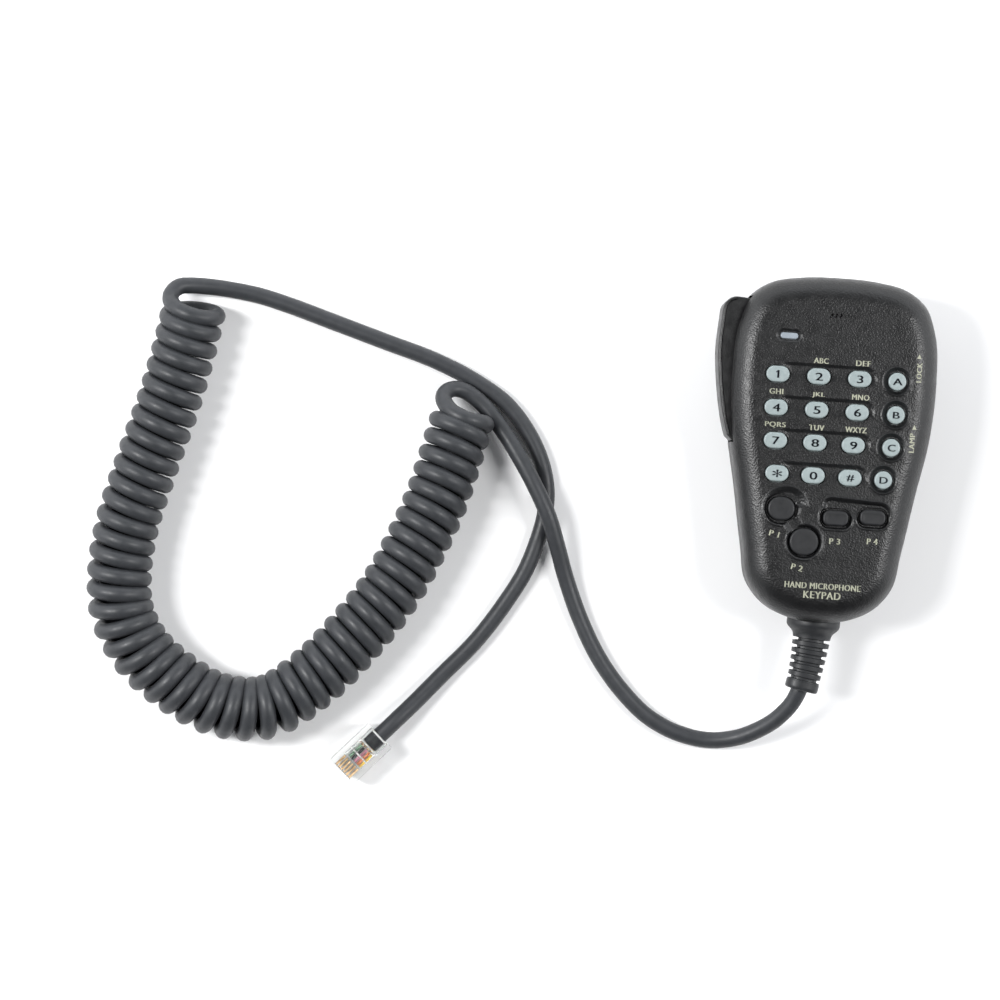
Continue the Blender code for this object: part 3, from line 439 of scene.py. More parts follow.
def plain_paper():
    """The floor's smooth white board."""
    shader = Shader("floor_board", (0.9, 0.9, 0.9), 0.8, Specular_IOR_Level=0.2)
    shader.colours(shader.noise(60), (0.878, 0.878, 0.882), (0.892, 0.892, 0.892))
    return shader.material


def moulded_plastic(name, grain, height, dark, light, rough):
    """Black moulded plastic with a leather-like grain."""
    shader = Shader(name, dark, 0.4, Specular_IOR_Level=0.48)
    cells = shader.cells(grain)
    shader.colours(cells, dark, light, (0.1, 0.8))
    shader.rough(shader.noise(3.0), *rough)
    shader.bump(cells, height, 0.9)
    shader.bump(shader.noise(grain * 0.45), height * 0.5, 0.6)
    return shader.material


def satin_rubber(name, dark, light, rough):
    """Rubber or smooth plastic with a very fine grain."""
    shader = Shader(name, dark, 0.45, Specular_IOR_Level=0.35)
    shader.colours(shader.noise(2.4), dark, light)
    shader.rough(shader.noise(1.4), *rough)
    shader.bump(shader.noise(0.25), 0.012, 0.7)
    return shader.material


def key_plastic():
    """Pale plastic that lets a little light in."""
    shader = Shader("key_plastic", (0.24, 0.28, 0.285), 0.38, Subsurface_Weight=0.12)
    set_inputs(shader.bsdf, Subsurface_Radius=(0.0008, 0.0009, 0.001))
    shader.colours(shader.noise(1.2), (0.226, 0.267, 0.269), (0.25, 0.293, 0.295))
    shader.rough(shader.noise(0.6), 0.34, 0.46)
    shader.bump(shader.noise(0.22), 0.006, 0.6)
    return shader.material


def print_ink(name, *colour):
    """Ink that covers a little unevenly."""
    shader = Shader(name, colour, 0.6)
    low = tuple(0.82 * c for c in colour)
    shader.colours(shader.noise(0.16), low, colour)
    shader.rough(shader.noise(0.3), 0.5, 0.7)
    shader.bump(shader.noise(0.12), 0.005, 0.6)
    return shader.material


def clear_plastic():
    """The plug's clear plastic, slightly wavy as moulded."""
    rough = (0.06, 0.11)
    tint = (0.98, 0.99, 0.98)
    shader = Shader("plug_clear", tint, rough[0], Transmission_Weight=1.0, IOR=1.3)
    shader.rough(shader.noise(2.0), *rough)
    shader.bump(shader.noise(1.6), 0.01, 0.4)
    return shader.material


def metal(name, dark, light, rough):
    """Metal with fine scratches that run one way."""
    shader = Shader(name, dark, 0.3, Metallic=1.0)
    shader.colours(shader.noise(1.5), dark, light)
    shader.rough(shader.noise(0.5), *rough)
    shader.bump(shader.noise(0.15, stretch=(1, 9, 1)), 0.004, 0.7)
    return shader.material


def make_materials():
    looks = {"key_plastic": key_plastic(), "plug_clear": clear_plastic()}
    for make, table in (
        (moulded_plastic, MOULDED_PLASTICS), (satin_rubber, SATIN), (metal, METALS),
        (print_ink, INKS),
    ):
        looks.update((name, make(name, *look)) for name, look in table.items())
    return looks


# ---- curves and meshes


def smooth_curve(points, closed=False, fine=24):
    """A smooth curve through the points, as a dense polyline."""
    points = np.array(points, float)
    ahead = np.roll(points, -1, axis=0) - points
    step = np.linalg.norm(ahead, axis=1, keepdims=True)
    step_before = np.roll(step, 1, axis=0)
    ahead /= step
    slopes = ahead * step_before + np.roll(ahead, 1, axis=0) * step
    slopes /= step + step_before
    if not closed:
        slopes[0], slopes[-1] = ahead[0], ahead[-2]
    t = np.linspace(0, 1, fine, endpoint=False)[:, None]
    start, leaving = points[:, None], slopes[:, None]
    end, arriving = np.roll(start, -1, axis=0), np.roll(leaving, -1, axis=0)
    step = step[:, None]
    curve = (
        (2 * t**3 - 3 * t**2 + 1) * start + (t**3 - 2 * t**2 + t) * leaving * step
        + (3 * t**2 - 2 * t**3) * end + (t**3 - t**2) * arriving * step
    )
    if closed:
        return np.concatenate([*curve, points[:1]])
    return np.concatenate([*curve[:-1], points[-1:]])


def spread_evenly(line, count):
    """`count` points at equal distances along a polyline."""
    steps = np.linalg.norm(np.diff(line, axis=0), axis=1)
    along = np.concatenate([[0], np.cumsum(steps)])
    places = np.linspace(0, along[-1], count)
    return np.stack([np.interp(places, along, line[:, k]) for k in range(line.shape[1])], axis=1)


def spread_round(ring, count):
    """`count` evenly spaced points round a closed ring."""
    return spread_evenly(np.concatenate([ring, ring[:1]]), count + 1)[:-1]


def length_of(line):
    return float(np.linalg.norm(np.diff(line, axis=0), axis=1).sum())


def directions_round(ring):
    return unit(np.roll(ring, -1, axis=0) - np.roll(ring, 1, axis=0))


def mesh_from(bm, name):
    """The bmesh as a mesh, with its faces turned outwards."""
    bmesh.ops.recalc_face_normals(bm, faces=bm.faces)
    mesh = bpy.data.meshes.new(name)
    bm.to_mesh(mesh)
    bm.free()
    return mesh


def add_piece(name, data, material, body, slot, smooth_angle=35):
    """Puts a finished piece into the scene, on its body."""
    obj = linked(name, data)
    data.materials.append(LOOKS[material])
    if hasattr(data, "shade_smooth"):
        data.shade_smooth()
        data.set_sharp_from_angle(angle=math.radians(smooth_angle))
    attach(obj, body)
    return obj


def add_solid(name, bm, material, body, slot=None, smooth_angle=50):
    return add_piece(name, mesh_from(bm, name), material, body, slot or material, smooth_angle)


# ---- cord


def coil_strand():
    """The cord's centreline round the coil, from the coil's left end to its right end."""
    axis = smooth_curve(COIL_ROUTE)
    stations = spread_evenly(axis, round(COIL_TURNS * COIL_STEPS) + 1)
    along = unit(np.gradient(stations, axis=0))
    share = np.linspace(0, 1, len(stations))
    distance = share * length_of(axis)
    base, more, fade = COIL_LEAN
    lean = np.radians(base + more * np.exp(-distance / fade))
    angle = math.radians(90) - 2 * math.pi * COIL_TURNS * share
    flat = (
        stations + to_right(along) * (COIL_R * np.sin(angle))[:, None]
        + along * (COIL_R * np.cos(angle) * np.sin(lean))[:, None]
    )
    height = TABLE_Z + COIL_R * np.cos(lean) * (1 + np.cos(angle))
    return np.column_stack([flat, height])


def relief_place(along=0.0):
    """The strain relief's own frame: its +Z runs out of the case, and bends away a little."""
    start, bend = RELIEF_LEAN
    out_of_case = spun(90, "X")
    bent = bend * max(along, 0)
    reach = spun(-start - bent / 2, "Z") @ out_of_case
    spot = Vector(RELIEF_ROOT) + reach.to_3x3() @ Vector((0, 0, along))
    return moved(spot) @ spun(-start - bent, "Z") @ out_of_case


def plug_place():
    """The plug's own frame: its +Y runs from its rear face to its nose, and Z is the table's."""
    return moved((*PLUG_AT, 0)) @ spun(PLUG_HEADING - 90, "Z")


def on_table(route):
    """The route, with the table's height for the points that have none."""
    return [(*point, TABLE_Z)[:3] for point in route]


def ease_bends(line, radius):
    """The line with bends tighter than `radius` opened out, as the cord's stiffness would."""
    line = line.copy()
    for _ in range(EASE_ROUNDS):
        middle = (line[:-2] + line[2:]) / 2
        reach = np.linalg.norm(line[2:] - line[:-2], axis=1) / 2
        sag = np.linalg.norm(line[1:-1] - middle, axis=1)
        tight = sag > reach ** 2 / (2 * radius)
        line[1:-1][tight] += 0.5 * (middle - line[1:-1])[tight]
    return line


def cord_line():
    """The cord's centreline from inside the strain relief, round the coil and into the plug."""
    starts = [tuple(relief_place(RELIEF_LENGTH - back) @ metres((-aside, 0, 0)) / MM)
              for back, aside in CORD_ASIDE]
    ends = [tuple(plug_place() @ metres(spot) / MM)
            for spot in ((0, -12, 4.0), (0, -6, 5.2), (0, 0.6, sum(PLUG_Z) / 2))]
    coil = coil_strand()[::-1]
    first, last = COIL_TRIM
    into_coil = coil[first:first + JOIN_STEPS + 1]
    out_of_coil = coil[-last - JOIN_STEPS - 1:-last]
    lead = smooth_curve([*starts, *on_table(LEAD_ROUTE), *into_coil], fine=JOIN_FINE)
    tail = smooth_curve([*out_of_coil, *on_table(TAIL_ROUTE), *ends], fine=JOIN_FINE)
    shared = JOIN_STEPS * JOIN_FINE
    line = np.concatenate([lead[:-shared], coil[first + 1:-last - 1], tail[shared:]])
    line = ease_bends(spread_evenly(line, round(length_of(line) / CORD_STEP)), TIGHTEST_BEND)
    line[:, 2] = np.maximum(line[:, 2], TABLE_Z)
    return line


def make_cord(line):
    curve = bpy.data.curves.new("cord", "CURVE")
    curve.dimensions = "3D"
    curve.bevel_depth = CORD_D / 2 * MM
    curve.bevel_resolution = 6
    curve.use_fill_caps = True
    spline = curve.splines.new("POLY")
    spline.points.add(len(line) - 1)
    for target, point in zip(spline.points, line):
        target.co = (*metres(point), 1)
    spline.use_smooth = True
    cord = add_piece("cord", curve, "cord_rubber", BODY, "cord_rubber")
    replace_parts(cord, "cord_lead", "cord_coil", "cord_tail")
    return cord


# ---- case


def outline_at(inset):
    """The case's outline moved inwards by `inset`, as evenly spaced points."""
    left = [(-x, y) for x, y in reversed(CASE_HALF[1:-1])]
    ring = spread_evenly(smooth_curve([*CASE_HALF, *left], closed=True), OUTLINE_STEPS + 1)[:-1]
    return ring + to_right(directions_round(ring)) * inset


def distance_to(points, ring):
    """How far each point is from a closed outline."""
    best = np.full(len(points), np.inf)
    for a, b in zip(ring, np.roll(ring, -1, axis=0)):
        side = b - a
        t = np.clip((points - a) @ side / (side @ side), 0, 1)
        best = np.minimum(best, np.linalg.norm(points - a - t[:, None] * side, axis=1))
    return best


def inside(points, ring):
    """Which points are inside a closed outline."""
    found = np.zeros(len(points), bool)
    for (ax, ay), (bx, by) in zip(ring, np.roll(ring, -1, axis=0)):
        if ay == by:
            continue
        crosses = (ay > points[:, 1]) != (by > points[:, 1])
        found ^= crosses & (points[:, 0] < (bx - ax) * (points[:, 1] - ay) / (by - ay) + ax)
    return found


def pill(width, height, radius=None, step=0.35, centre=(0, 0), turn=0.0):
    """A rectangle with round corners, as a ring of points about its centre."""
    widest = min(width, height) / 2
    radius = widest if radius is None else min(radius, widest - 1e-4)
    corner_steps = max(3, math.ceil(radius * math.pi / 2 / step))
    ring = []
    for quarter, (sx, sy) in enumerate(((1, 1), (-1, 1), (-1, -1), (1, -1))):
        for k in range(corner_steps + 1):
            angle = math.radians(90) * (quarter + k / corner_steps)
            ring.append((sx * (width / 2 - radius) + radius * math.cos(angle),
                         sy * (height / 2 - radius) + radius * math.sin(angle)))
    dense = [ring[0]]
    for a, b in zip(np.array(ring), np.roll(ring, -1, axis=0)):
        parts = max(1, round(math.dist(a, b) / step))
        dense += [a + (b - a) * k / parts for k in range(1, parts + 1)]
    dense = np.array(dense[:-1])
    keep = np.linalg.norm(dense - np.roll(dense, 1, axis=0), axis=1) > 1e-3
    return dense[keep] @ flat_turn(turn) + centre


def pill_distance(points, width, height, radius, centre, turn):
    """How far each point is outside a rectangle with round corners: negative inside it."""
    out = np.abs((points - centre) @ flat_turn(-turn)) - (width / 2 - radius, height / 2 - radius)
    return np.linalg.norm(np.maximum(out, 0), axis=1) + np.minimum(out.max(axis=1), 0) - radius


def step_curve(t):
    """From 0 to 1 with soft ends."""
    t = np.clip(t, 0, 1)
    return t * t * (3 - 2 * t)


class Recess:
    """A shallow sunk area with rounded edges.

    `edge` is the height of a raised lip round it. The recess may fade out downwards, between
    the two heights in `ramp`, and to the left, between the two places in `fade`.
    """

    def __init__(self, centre, width, height, radius, depth, wall=0.5, turn=0.0, ramp=None,
                 fade=None, edge=0.0):
        self.shape = dict(width=width, height=height, radius=radius, centre=centre, turn=turn)
        self.depth, self.wall, self.edge = depth, wall, edge
        self.ramps = [(axis, ends) for axis, ends in ((1, ramp), (0, fade)) if ends]

    def rings(self):
        """Outlines across the recess's wall and lip, for the face's mesh to follow."""
        shape = self.shape
        for grow in (0.8, 0.52, LIP_AT, 0.0, -self.wall / 2, -self.wall, -self.wall - 0.3):
            width, height = shape["width"] + 2 * grow, shape["height"] + 2 * grow
            if min(width, height) > 0.8:
                yield pill(width, height, max(shape["radius"] + grow, 0.15), 0.4,
                           shape["centre"], shape["turn"])

    def height_at(self, points):
        away = pill_distance(points, **self.shape)
        depth = self.depth * step_curve(-away / self.wall)
        lip = self.edge * np.exp(-((away - LIP_AT) / LIP_WIDTH) ** 2)
        for axis, (low, high) in self.ramps:
            share = step_curve((points[:, axis] - low) / (high - low))
            depth, lip = depth * share, lip * share
        return lip - depth


def bridge(bm, first, second):
    """Quads between two closed loops of vertices with equally many vertices."""
    for k in range(len(first)):
        after = (k + 1) % len(first)
        bm.faces.new((first[k], first[after], second[after], second[k]))


def add_sheet(bm, verts, heights, faces):
    used = sorted({k for face in faces for k in face})
    made = {k: bm.verts.new(metres((*verts[k], heights[k]))) for k in used}
    for face in faces:
        bm.faces.new([made[k] for k in face])
    return made


def add_wall(bm, edge, rings):
    """Carries a surface on from a loop of vertices through (inset, z) outlines of the case."""
    for inset, z in rings:
        ring = [bm.verts.new(metres((*point, z))) for point in outline_at(inset)]
        bridge(bm, edge, ring)
        edge = ring
    return edge


class CaseHalf:
    """One half of the case: a wall that rounds over into a face with holes and recesses."""

    def __init__(self, wall_z, face_z, rim, recesses, holes, crown=0.0):
        self.wall_z, self.face_z, self.rim = wall_z, face_z, rim
        self.up = 1 if face_z > wall_z else -1
        self.recesses, self.holes, self.crown = recesses, holes, crown
        self.outline = outline_at(0)

    def rim_at(self, degrees):
        """(inset, z) on the rounded edge: 0 at the wall, 90 at the face."""
        inwards, deep = self.rim
        angle = math.radians(degrees)
        z = self.face_z - self.up * deep * (1 - math.sin(angle))
        return inwards * (1 - math.cos(angle)), z

    def surface(self, points):
        """Z of the outer surface over each point."""
        inwards, deep = self.rim
        share = np.clip(1 - distance_to(points, self.outline) / inwards, 0, 1)
        z = self.face_z - self.up * deep * (1 - np.sqrt(1 - share**2))
        away = (((points - (0, CROWN_Y)) / CROWN_REACH) ** 2).sum(axis=1)
        z = z + self.up * self.crown * np.clip(1 - away, 0, 1) ** 2
        sunk = np.zeros(len(points))
        raised = np.zeros(len(points))
        for recess in self.recesses:
            height = recess.height_at(points)
            sunk = np.minimum(sunk, height)
            raised = np.maximum(raised, height)
        return z + self.up * np.where(sunk < -0.01, sunk, raised)

    def triangulate(self, rings, spacing, margin):
        """A flat triangulation inside the first ring that follows the others.

        The holes are left out. Returns its points, its triangles and each ring's points.
        """
        points, edges, loops = [], [], []
        for ring in rings:
            start = len(points)
            points += [tuple(point) for point in ring]
            loops.append(list(range(start, len(points))))
            edges += [(k, k + 1) for k in loops[-1][:-1]] + [(loops[-1][-1], start)]
        low, high = rings[0].min(axis=0), rings[0].max(axis=0)
        across = np.arange(low[0], high[0], spacing)
        up = np.arange(low[1], high[1], spacing * 0.87)
        filler = np.array([(x + (row % 2) * spacing / 2, y)
                           for row, y in enumerate(up) for x in across])
        clear = inside(filler, rings[0]) & (distance_to(filler, rings[0]) > margin)
        points += [tuple(point) for point in filler[clear]]
        flat = [Vector(point) for point in points]
        verts, _, faces, origins, _, _ = delaunay_2d_cdt(flat, edges, [], 0, 1e-5)
        verts = np.array([tuple(v) for v in verts])
        middles = np.array([verts[list(face)].mean(axis=0) for face in faces])
        keep = inside(middles, rings[0])
        for ring in self.holes:
            keep &= ~inside(middles, ring)
        kept = [face for face, wanted in zip(faces, keep) if wanted]
        where = {origin: k for k, found in enumerate(origins) for origin in found}
        return verts, kept, [[where[k] for k in loop] for loop in loops]

    def build(self):
        bm = bmesh.new()
        insets = [self.rim_at(angle)[0] for angle in RIM_ANGLES]
        rings = [outline_at(inset) for inset in insets] + list(self.holes)
        rings += [ring for recess in self.recesses for ring in recess.rings()]
        verts, faces, loops = self.triangulate(rings, OUTER_SPACING, insets[-1] + OUTER_MARGIN)
        outer = add_sheet(bm, verts, self.surface(verts), faces)
        wall = [self.rim_at(angle) for angle in WALL_ANGLES]
        foot = add_wall(bm, [outer[k] for k in loops[0]], [*wall, (0, self.wall_z)])

        inner_z = self.face_z - self.up * WALL
        inner_rings = [outline_at(INNER_EDGE[0][0]), *self.holes]
        verts, faces, inner_loops = self.triangulate(inner_rings, INNER_SPACING, INNER_MARGIN)
        inner = add_sheet(bm, verts, np.full(len(verts), inner_z), faces)
        wall = [(inset, inner_z - self.up * share * (self.rim[1] - WALL))
                for inset, share in INNER_EDGE[1:]]
        inner_foot = add_wall(bm, [inner[k] for k in inner_loops[0]], [*wall, (WALL, self.wall_z)])
        bridge(bm, inner_foot, foot)

        for top, low in zip(loops[len(insets):], inner_loops[1:]):
            bridge(bm, [outer[k] for k in top], [inner[k] for k in low])
        return bm


def cut_away(name, bm, cutters, material):
    """The finished piece, with the cutters' shapes taken out of it."""
    rough = linked(name + "_uncut", mesh_from(bm, name))
    helpers = []
    for cutter_bm in cutters:
        cutter = linked("cutter", mesh_from(cutter_bm, "cutter"))
        modifier = rough.modifiers.new("cut", "BOOLEAN")
        modifier.operation = "DIFFERENCE"
        modifier.object = cutter
        modifier.solver = "EXACT"
        helpers.append(cutter)
    finished = evaluated_mesh(rough)
    finished.name = name
    for helper in (rough, *helpers):
        bpy.data.objects.remove(helper)
    return add_piece(name, finished, material, BODY, material)


def box_bm(low, high):
    bm = bmesh.new()
    bmesh.ops.create_cube(bm, size=1)
    low, high = Vector(low), Vector(high)
    bmesh.ops.scale(bm, vec=(high - low) * MM, verts=bm.verts)
    bmesh.ops.translate(bm, vec=(high + low) / 2 * MM, verts=bm.verts)
    return bm


def rod_bm(place, radius, low, high):
    bm = bmesh.new()
    bmesh.ops.create_cone(bm, cap_ends=True, segments=64, radius1=radius * MM,
                          radius2=radius * MM, depth=(high - low) * MM)
    bmesh.ops.translate(bm, vec=(0, 0, (high + low) / 2 * MM), verts=bm.verts)
    bm.transform(place)
    return bm


def box_of(node):
    """A CAD node's lowest and highest corners and its middle."""
    low, high = (np.array(corner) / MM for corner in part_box(node))
    return low, high, (low + high) / 2


def keyed_opening(node):
    """(centre, width, height) of the opening that a key or button stands in."""
    low, high, middle = box_of(node)
    return (middle[:2], *(high[:2] - low[:2] - 2 * KEY_LIP))


def key_radius(name, width, height):
    return WIDE_RADIUS if name in WIDE_BUTTONS else min(width, height) / 2


def front_recesses():
    """The sunk areas round the keys, the program buttons and the window."""
    recesses = []
    for row in KEY_ROWS:
        first, last, letter = (keyed_opening(row[k])[0] for k in (0, 2, 3))
        recesses += [
            Recess((first + last) / 2 + (0.15, 0.0), last[0] - first[0] + 9.5, 6.75, 3.3,
                   depth=0.48, wall=0.75, edge=0.03, ramp=(first[1] - 2.4, first[1] + 1.2),
                   fade=(first[0] + 0.5, first[0] + 4.0)),
            Recess(letter + (0, 0.1), 7.2, 7.2, 3.59, depth=0.5, wall=0.65, edge=0.2),
        ]
    p1, p2, p3, p4 = (keyed_opening(name)[0] for name in PROGRAM_BUTTONS)
    apart = p2 - p1
    heading = math.degrees(math.atan2(apart[1], apart[0])) - 90
    pair = (p3 + p4) / 2
    width, height = WINDOW_SIZE
    return recesses + [
        Recess(p1, 9.5, 8.9, 4.44, depth=0.8, wall=0.6, edge=0.12),
        Recess(p1 + (1.0, 0.5), 11.6, 10.6, 5.29, depth=0.7, wall=1.5, turn=14, edge=0.2,
               ramp=(p1[1] + 0.7, p1[1] + 1.9)),
        Recess(p2, 9.7, 9.3, 4.64, depth=0.8, wall=0.6, edge=0.14),
        Recess((p1 + p2) / 2, 4.2, 6.4, 0.6, depth=0.8, wall=1.7, turn=heading, edge=0.16),
        Recess(pair + (0.3, 0.7), 19.2, 8.2, 3.0, depth=0.8, wall=0.85, turn=-3, edge=0.2,
               ramp=(pair[1] - 0.5, pair[1] + 1.6), fade=(p3[0] - 3.8, p3[0] - 2.6)),
        *(Recess(centre, 8.9, 6.0, 2.6, depth=1.15, wall=0.45, edge=0.14) for centre in (p3, p4)),
        Recess(keyed_opening("led_window")[0], width + 1.9, height + 1.9, 1.7, depth=0.4,
               edge=0.03),
    ]


def front_holes():
    """The openings for the keys, the program buttons, the window and the sound."""
    holes = []
    for name in (*KEYS, *PROGRAM_BUTTONS):
        centre, width, height = keyed_opening(name)
        radius = key_radius(name, width, height) + KEY_GAP
        holes.append(pill(width + 2 * KEY_GAP, height + 2 * KEY_GAP, radius, 0.3, centre))
    width, height = WINDOW_SIZE
    holes.append(pill(width + 0.4, height + 0.4, None, 0.25, keyed_opening("led_window")[0]))
    slot_y = box_of("mic_capsule")[2][1]
    return holes + [pill(*SLOT_SIZE, None, 0.15, (x, slot_y), -SLOT_LEAN) for x in SLOT_X]


def end_cutters():
    """What both halves make way for: the lever and the strain relief."""
    low, high, _ = box_of("ptt_lever")
    side, lower_end, upper_end = LEVER_OPENING
    lever = box_bm((low[0] - 4, lower_end, low[2] - 0.5), (side, upper_end, high[2] + 0.6))
    return [lever, rod_bm(relief_place(), RELIEF_HOLE_R, -6, 6)]


def slider_cutter(node):
    _, (right, _, _), (_, y, z) = box_of(node)
    return box_bm((right - 2.9, y - 2.1, z - 1.3), (right + 3, y + 4.6, z + 1.3))


def top_key_cutter(node):
    x, _, z = box_of(node)[2]
    return box_bm((x - 3.6, 34, z - 1.9), (x + 3.6, 39, z + 1.9))


def make_case():
    """Both halves of the case. Returns the front one, whose surface carries the print."""
    front = CaseHalf(PARTING_Z + PARTING_GAP, FRONT_Z, FRONT_RIM, front_recesses(),
                     front_holes(), FRONT_CROWN)
    lever, relief = end_cutters()
    cutters = [lever, *map(slider_cutter, SLIDERS), *map(top_key_cutter, TOP_KEYS), relief]
    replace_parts(cut_away("front_case", front.build(), cutters, "case_plastic"), "front_shell")

    screws = [box_of(f"case_screw_{k}")[2][:2] for k in (1, 2, 3)]
    holes = [pill(5.0, 5.0, None, 0.4, screw) for screw in screws] + [pill(5.6, 5.6, None, 0.4)]
    label_panel = Recess((0, -14), 26, 30, 2.5, depth=0.35, wall=0.3)
    rings = [Recess(screw, 7.4, 7.4, 3.69, depth=0.25, wall=0.3) for screw in screws]
    rear = CaseHalf(PARTING_Z, REAR_Z, REAR_RIM, [label_panel, *rings], holes)
    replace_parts(cut_away("rear_case", rear.build(), end_cutters(), "case_plastic"), "rear_cover")
    return front


# ---- solids


def even_pill(width, height, radius=None, count=72, centre=(0, 0)):
    """A rectangle with round corners, as `count` evenly spaced points."""
    return spread_round(pill(width, height, radius, 0.15), count) + np.array(centre)


def shrunk(ring, inset):
    """A closed ring moved inwards by `inset`."""
    after = np.roll(ring, -1, axis=0)
    turning = np.sum(ring[:, 0] * after[:, 1] - after[:, 0] * ring[:, 1])
    return ring + to_right(directions_round(ring)) * (-1 if turning > 0 else 1) * inset


def skin(rings, place=None, bm=None):
    """A closed solid through rings of equally many (x, y, z) points, added to a bmesh."""
    bm = bm or bmesh.new()
    place = place or Matrix.Identity(4)
    made = [[bm.verts.new(place @ metres(point)) for point in ring] for ring in rings]
    for first, second in zip(made, made[1:]):
        bridge(bm, first, second)
    bm.faces.new(made[0][::-1])
    bm.faces.new(made[-1])
    return bm


def stack(layers, place=None, bm=None):
    """A closed solid through flat rings at given heights, added to a bmesh."""
    return skin([[(*point, z) for point in ring] for ring, z in layers], place, bm)


def stack_pills(sections, place=None, centre=(0, 0)):
    """A closed solid through sections, each (width, height, corner radius, z)."""
    return stack([(even_pill(width, height, radius, centre=centre), z)
                  for width, height, radius, z in sections], place)


def edge_curve(steps=4):
    """(inset, drop) shares of a rounded edge, from its side to its top."""
    for k in range(steps + 1):
        angle = math.radians(90) * k / steps
        yield 1 - math.cos(angle), 1 - math.sin(angle)


def rounded_top(width, height, radius, top, edge, dish=0.0):
    """Sections of a raised pill's rounded edge and slightly crowned or dished top."""
    insets = [(edge * share, top - edge * drop) for share, drop in edge_curve(5)]
    for share in (0.5, 0.72, 0.88):
        inset = share * min(width, height) / 2
        if inset > edge:
            insets.append((inset, top - dish * math.sin(math.radians(90) * share)))
    return [(width - 2 * inset, height - 2 * inset, max(radius - inset, 0.1), z)
            for inset, z in insets]


def column(size, low, high):
    """Both ends of a straight stretch, as sections."""
    return [(*size, low), (*size, high)]


def cap_sections(foot, flange, face, levels, top, edge, dish=0.0):
    """Sections of a foot, a flange and a face. `levels` is where the first two start and end."""
    return [*column(foot, *levels[:2]), *column(flange, *levels[1:]), (*face, levels[2]),
            *rounded_top(*face, top, edge, dish)]


# ---- keys and buttons


def make_key(node, material, edge, dish=0.0):
    low, high, _ = box_of(node)
    centre, width, height = keyed_opening(node)
    face = (width, height, key_radius(node, width, height))
    flange = (width + 2 * KEY_LIP, height + 2 * KEY_LIP, face[2] + KEY_LIP)
    levels = (low[2], *KEY_FLANGE_Z)
    sections = cap_sections(KEY_POST, flange, face, levels, high[2], edge, dish)
    bm = stack_pills(sections, centre=centre)
    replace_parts(add_solid(node + "_cap", bm, material, node), node)


def make_top_key(node):
    """A key in the top wall: its own +Z points out of the wall, towards +Y."""
    low, high, middle = box_of(node)
    place = moved((middle[0], 0, middle[2])) @ spun(-90, "X")
    foot, flange, face = (2.4, 2.0, 0.5), (8.0, 4.8, 0.8), (6.6, 3.2, 1.0)
    levels = (low[1], low[1] + 0.9, low[1] + 2.0)
    edge = 0.45
    bm = stack_pills(cap_sections(foot, flange, face, levels, high[1] - edge, edge), place)
    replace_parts(add_solid(node + "_cap", bm, "button_rubber", node), node)


def make_slider(node):
    """A slide switch's finger piece: its own +Z points out of the wall, towards +X."""
    low, high, middle = box_of(node)
    place = moved((0, middle[1], middle[2])) @ spun(90, "Y")
    foot, face = (3.6, 6.0, 0.3), (2.0, 3.6, 0.3)
    foot_z, out = (low[0], low[0] + 1.3), high[0]
    top = rounded_top(*face, out - 0.3, 0.25)
    bm = stack_pills([*column(foot, *foot_z), (*face, foot_z[1]), *top], place)
    for y in (-1.2, -0.6, 0.0, 0.6, 1.2):
        ridge = [(even_pill(1.5 - 2 * inset, 0.34 - inset, 0.1 - inset / 2, 24, (0, y)), z)
                 for inset, z in ((0, out - 0.5), (0, out - 0.1), (0.08, out))]
        stack(ridge, place, bm)
    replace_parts(add_solid(node + "_finger", bm, "button_rubber", node), node)


def make_window():
    low, high, _ = box_of("led_window")
    width, height = WINDOW_SIZE
    inner_z = FRONT_Z - WALL
    foot, flange = (width - 0.8, height - 0.6, 0.6), (width + 1.6, height + 1.6, 1.7)
    levels = (low[2], inner_z - 1.9, inner_z - 0.3)
    face = (width, height, height / 2)
    sections = cap_sections(foot, flange, face, levels, high[2] - 0.1, 0.3)
    bm = stack_pills(sections, centre=keyed_opening("led_window")[0])
    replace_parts(add_solid("window_lens", bm, "window_plastic", BODY), "led_window")


# ---- print


def letters(text, height, stretch=1.15, gap=0.0, width=None):
    """Printed characters as a thin flat mesh in millimetres, centred on the origin."""
    data = bpy.data.curves.new("letters", "FONT")
    data.body = text
    data.resolution_u = 4
    data.space_character = 1 + gap
    data.extrude = 0.01
    holder = linked("letters", data)
    mesh = evaluated_mesh(holder)
    bpy.data.objects.remove(holder)
    spots = np.array([tuple(vert.co) for vert in mesh.vertices])
    low, high = spots.min(axis=0), spots.max(axis=0)
    scale = height / (high[1] - low[1])
    if width:
        stretch = width / (scale * (high[0] - low[0]))
    spots = (spots - (low + high) / 2) * (scale * stretch, scale, 1)
    spots[:, 2] = np.where(spots[:, 2] > 0, PRINT_THICK, -PRINT_THICK)
    return mesh, spots


def printed_shape(corners):
    """A printed shape, from its corners in anticlockwise order."""
    count = len(corners)
    spots = [(*corner, z) for z in (-PRINT_THICK, PRINT_THICK) for corner in corners]
    low, high = list(range(count)), list(range(count, 2 * count))
    sides = [(k, (k + 1) % count, (k + 1) % count + count, k + count) for k in low]
    mesh = bpy.data.meshes.new("shape")
    mesh.from_pydata(spots, [], [low[::-1], high, *sides])
    return mesh, np.array(spots)


def print_on(bm, shape, at, turn, surface):
    """Adds a printed shape to the bmesh, at a place on a surface."""
    mesh, spots = shape
    flat = spots[:, :2] @ flat_turn(turn) + at
    placed = np.column_stack([flat, surface(flat) + spots[:, 2]]) * MM
    mesh.vertices.foreach_set("co", placed.astype(np.float32).ravel())
    bm.from_mesh(mesh)
    bpy.data.meshes.remove(mesh)


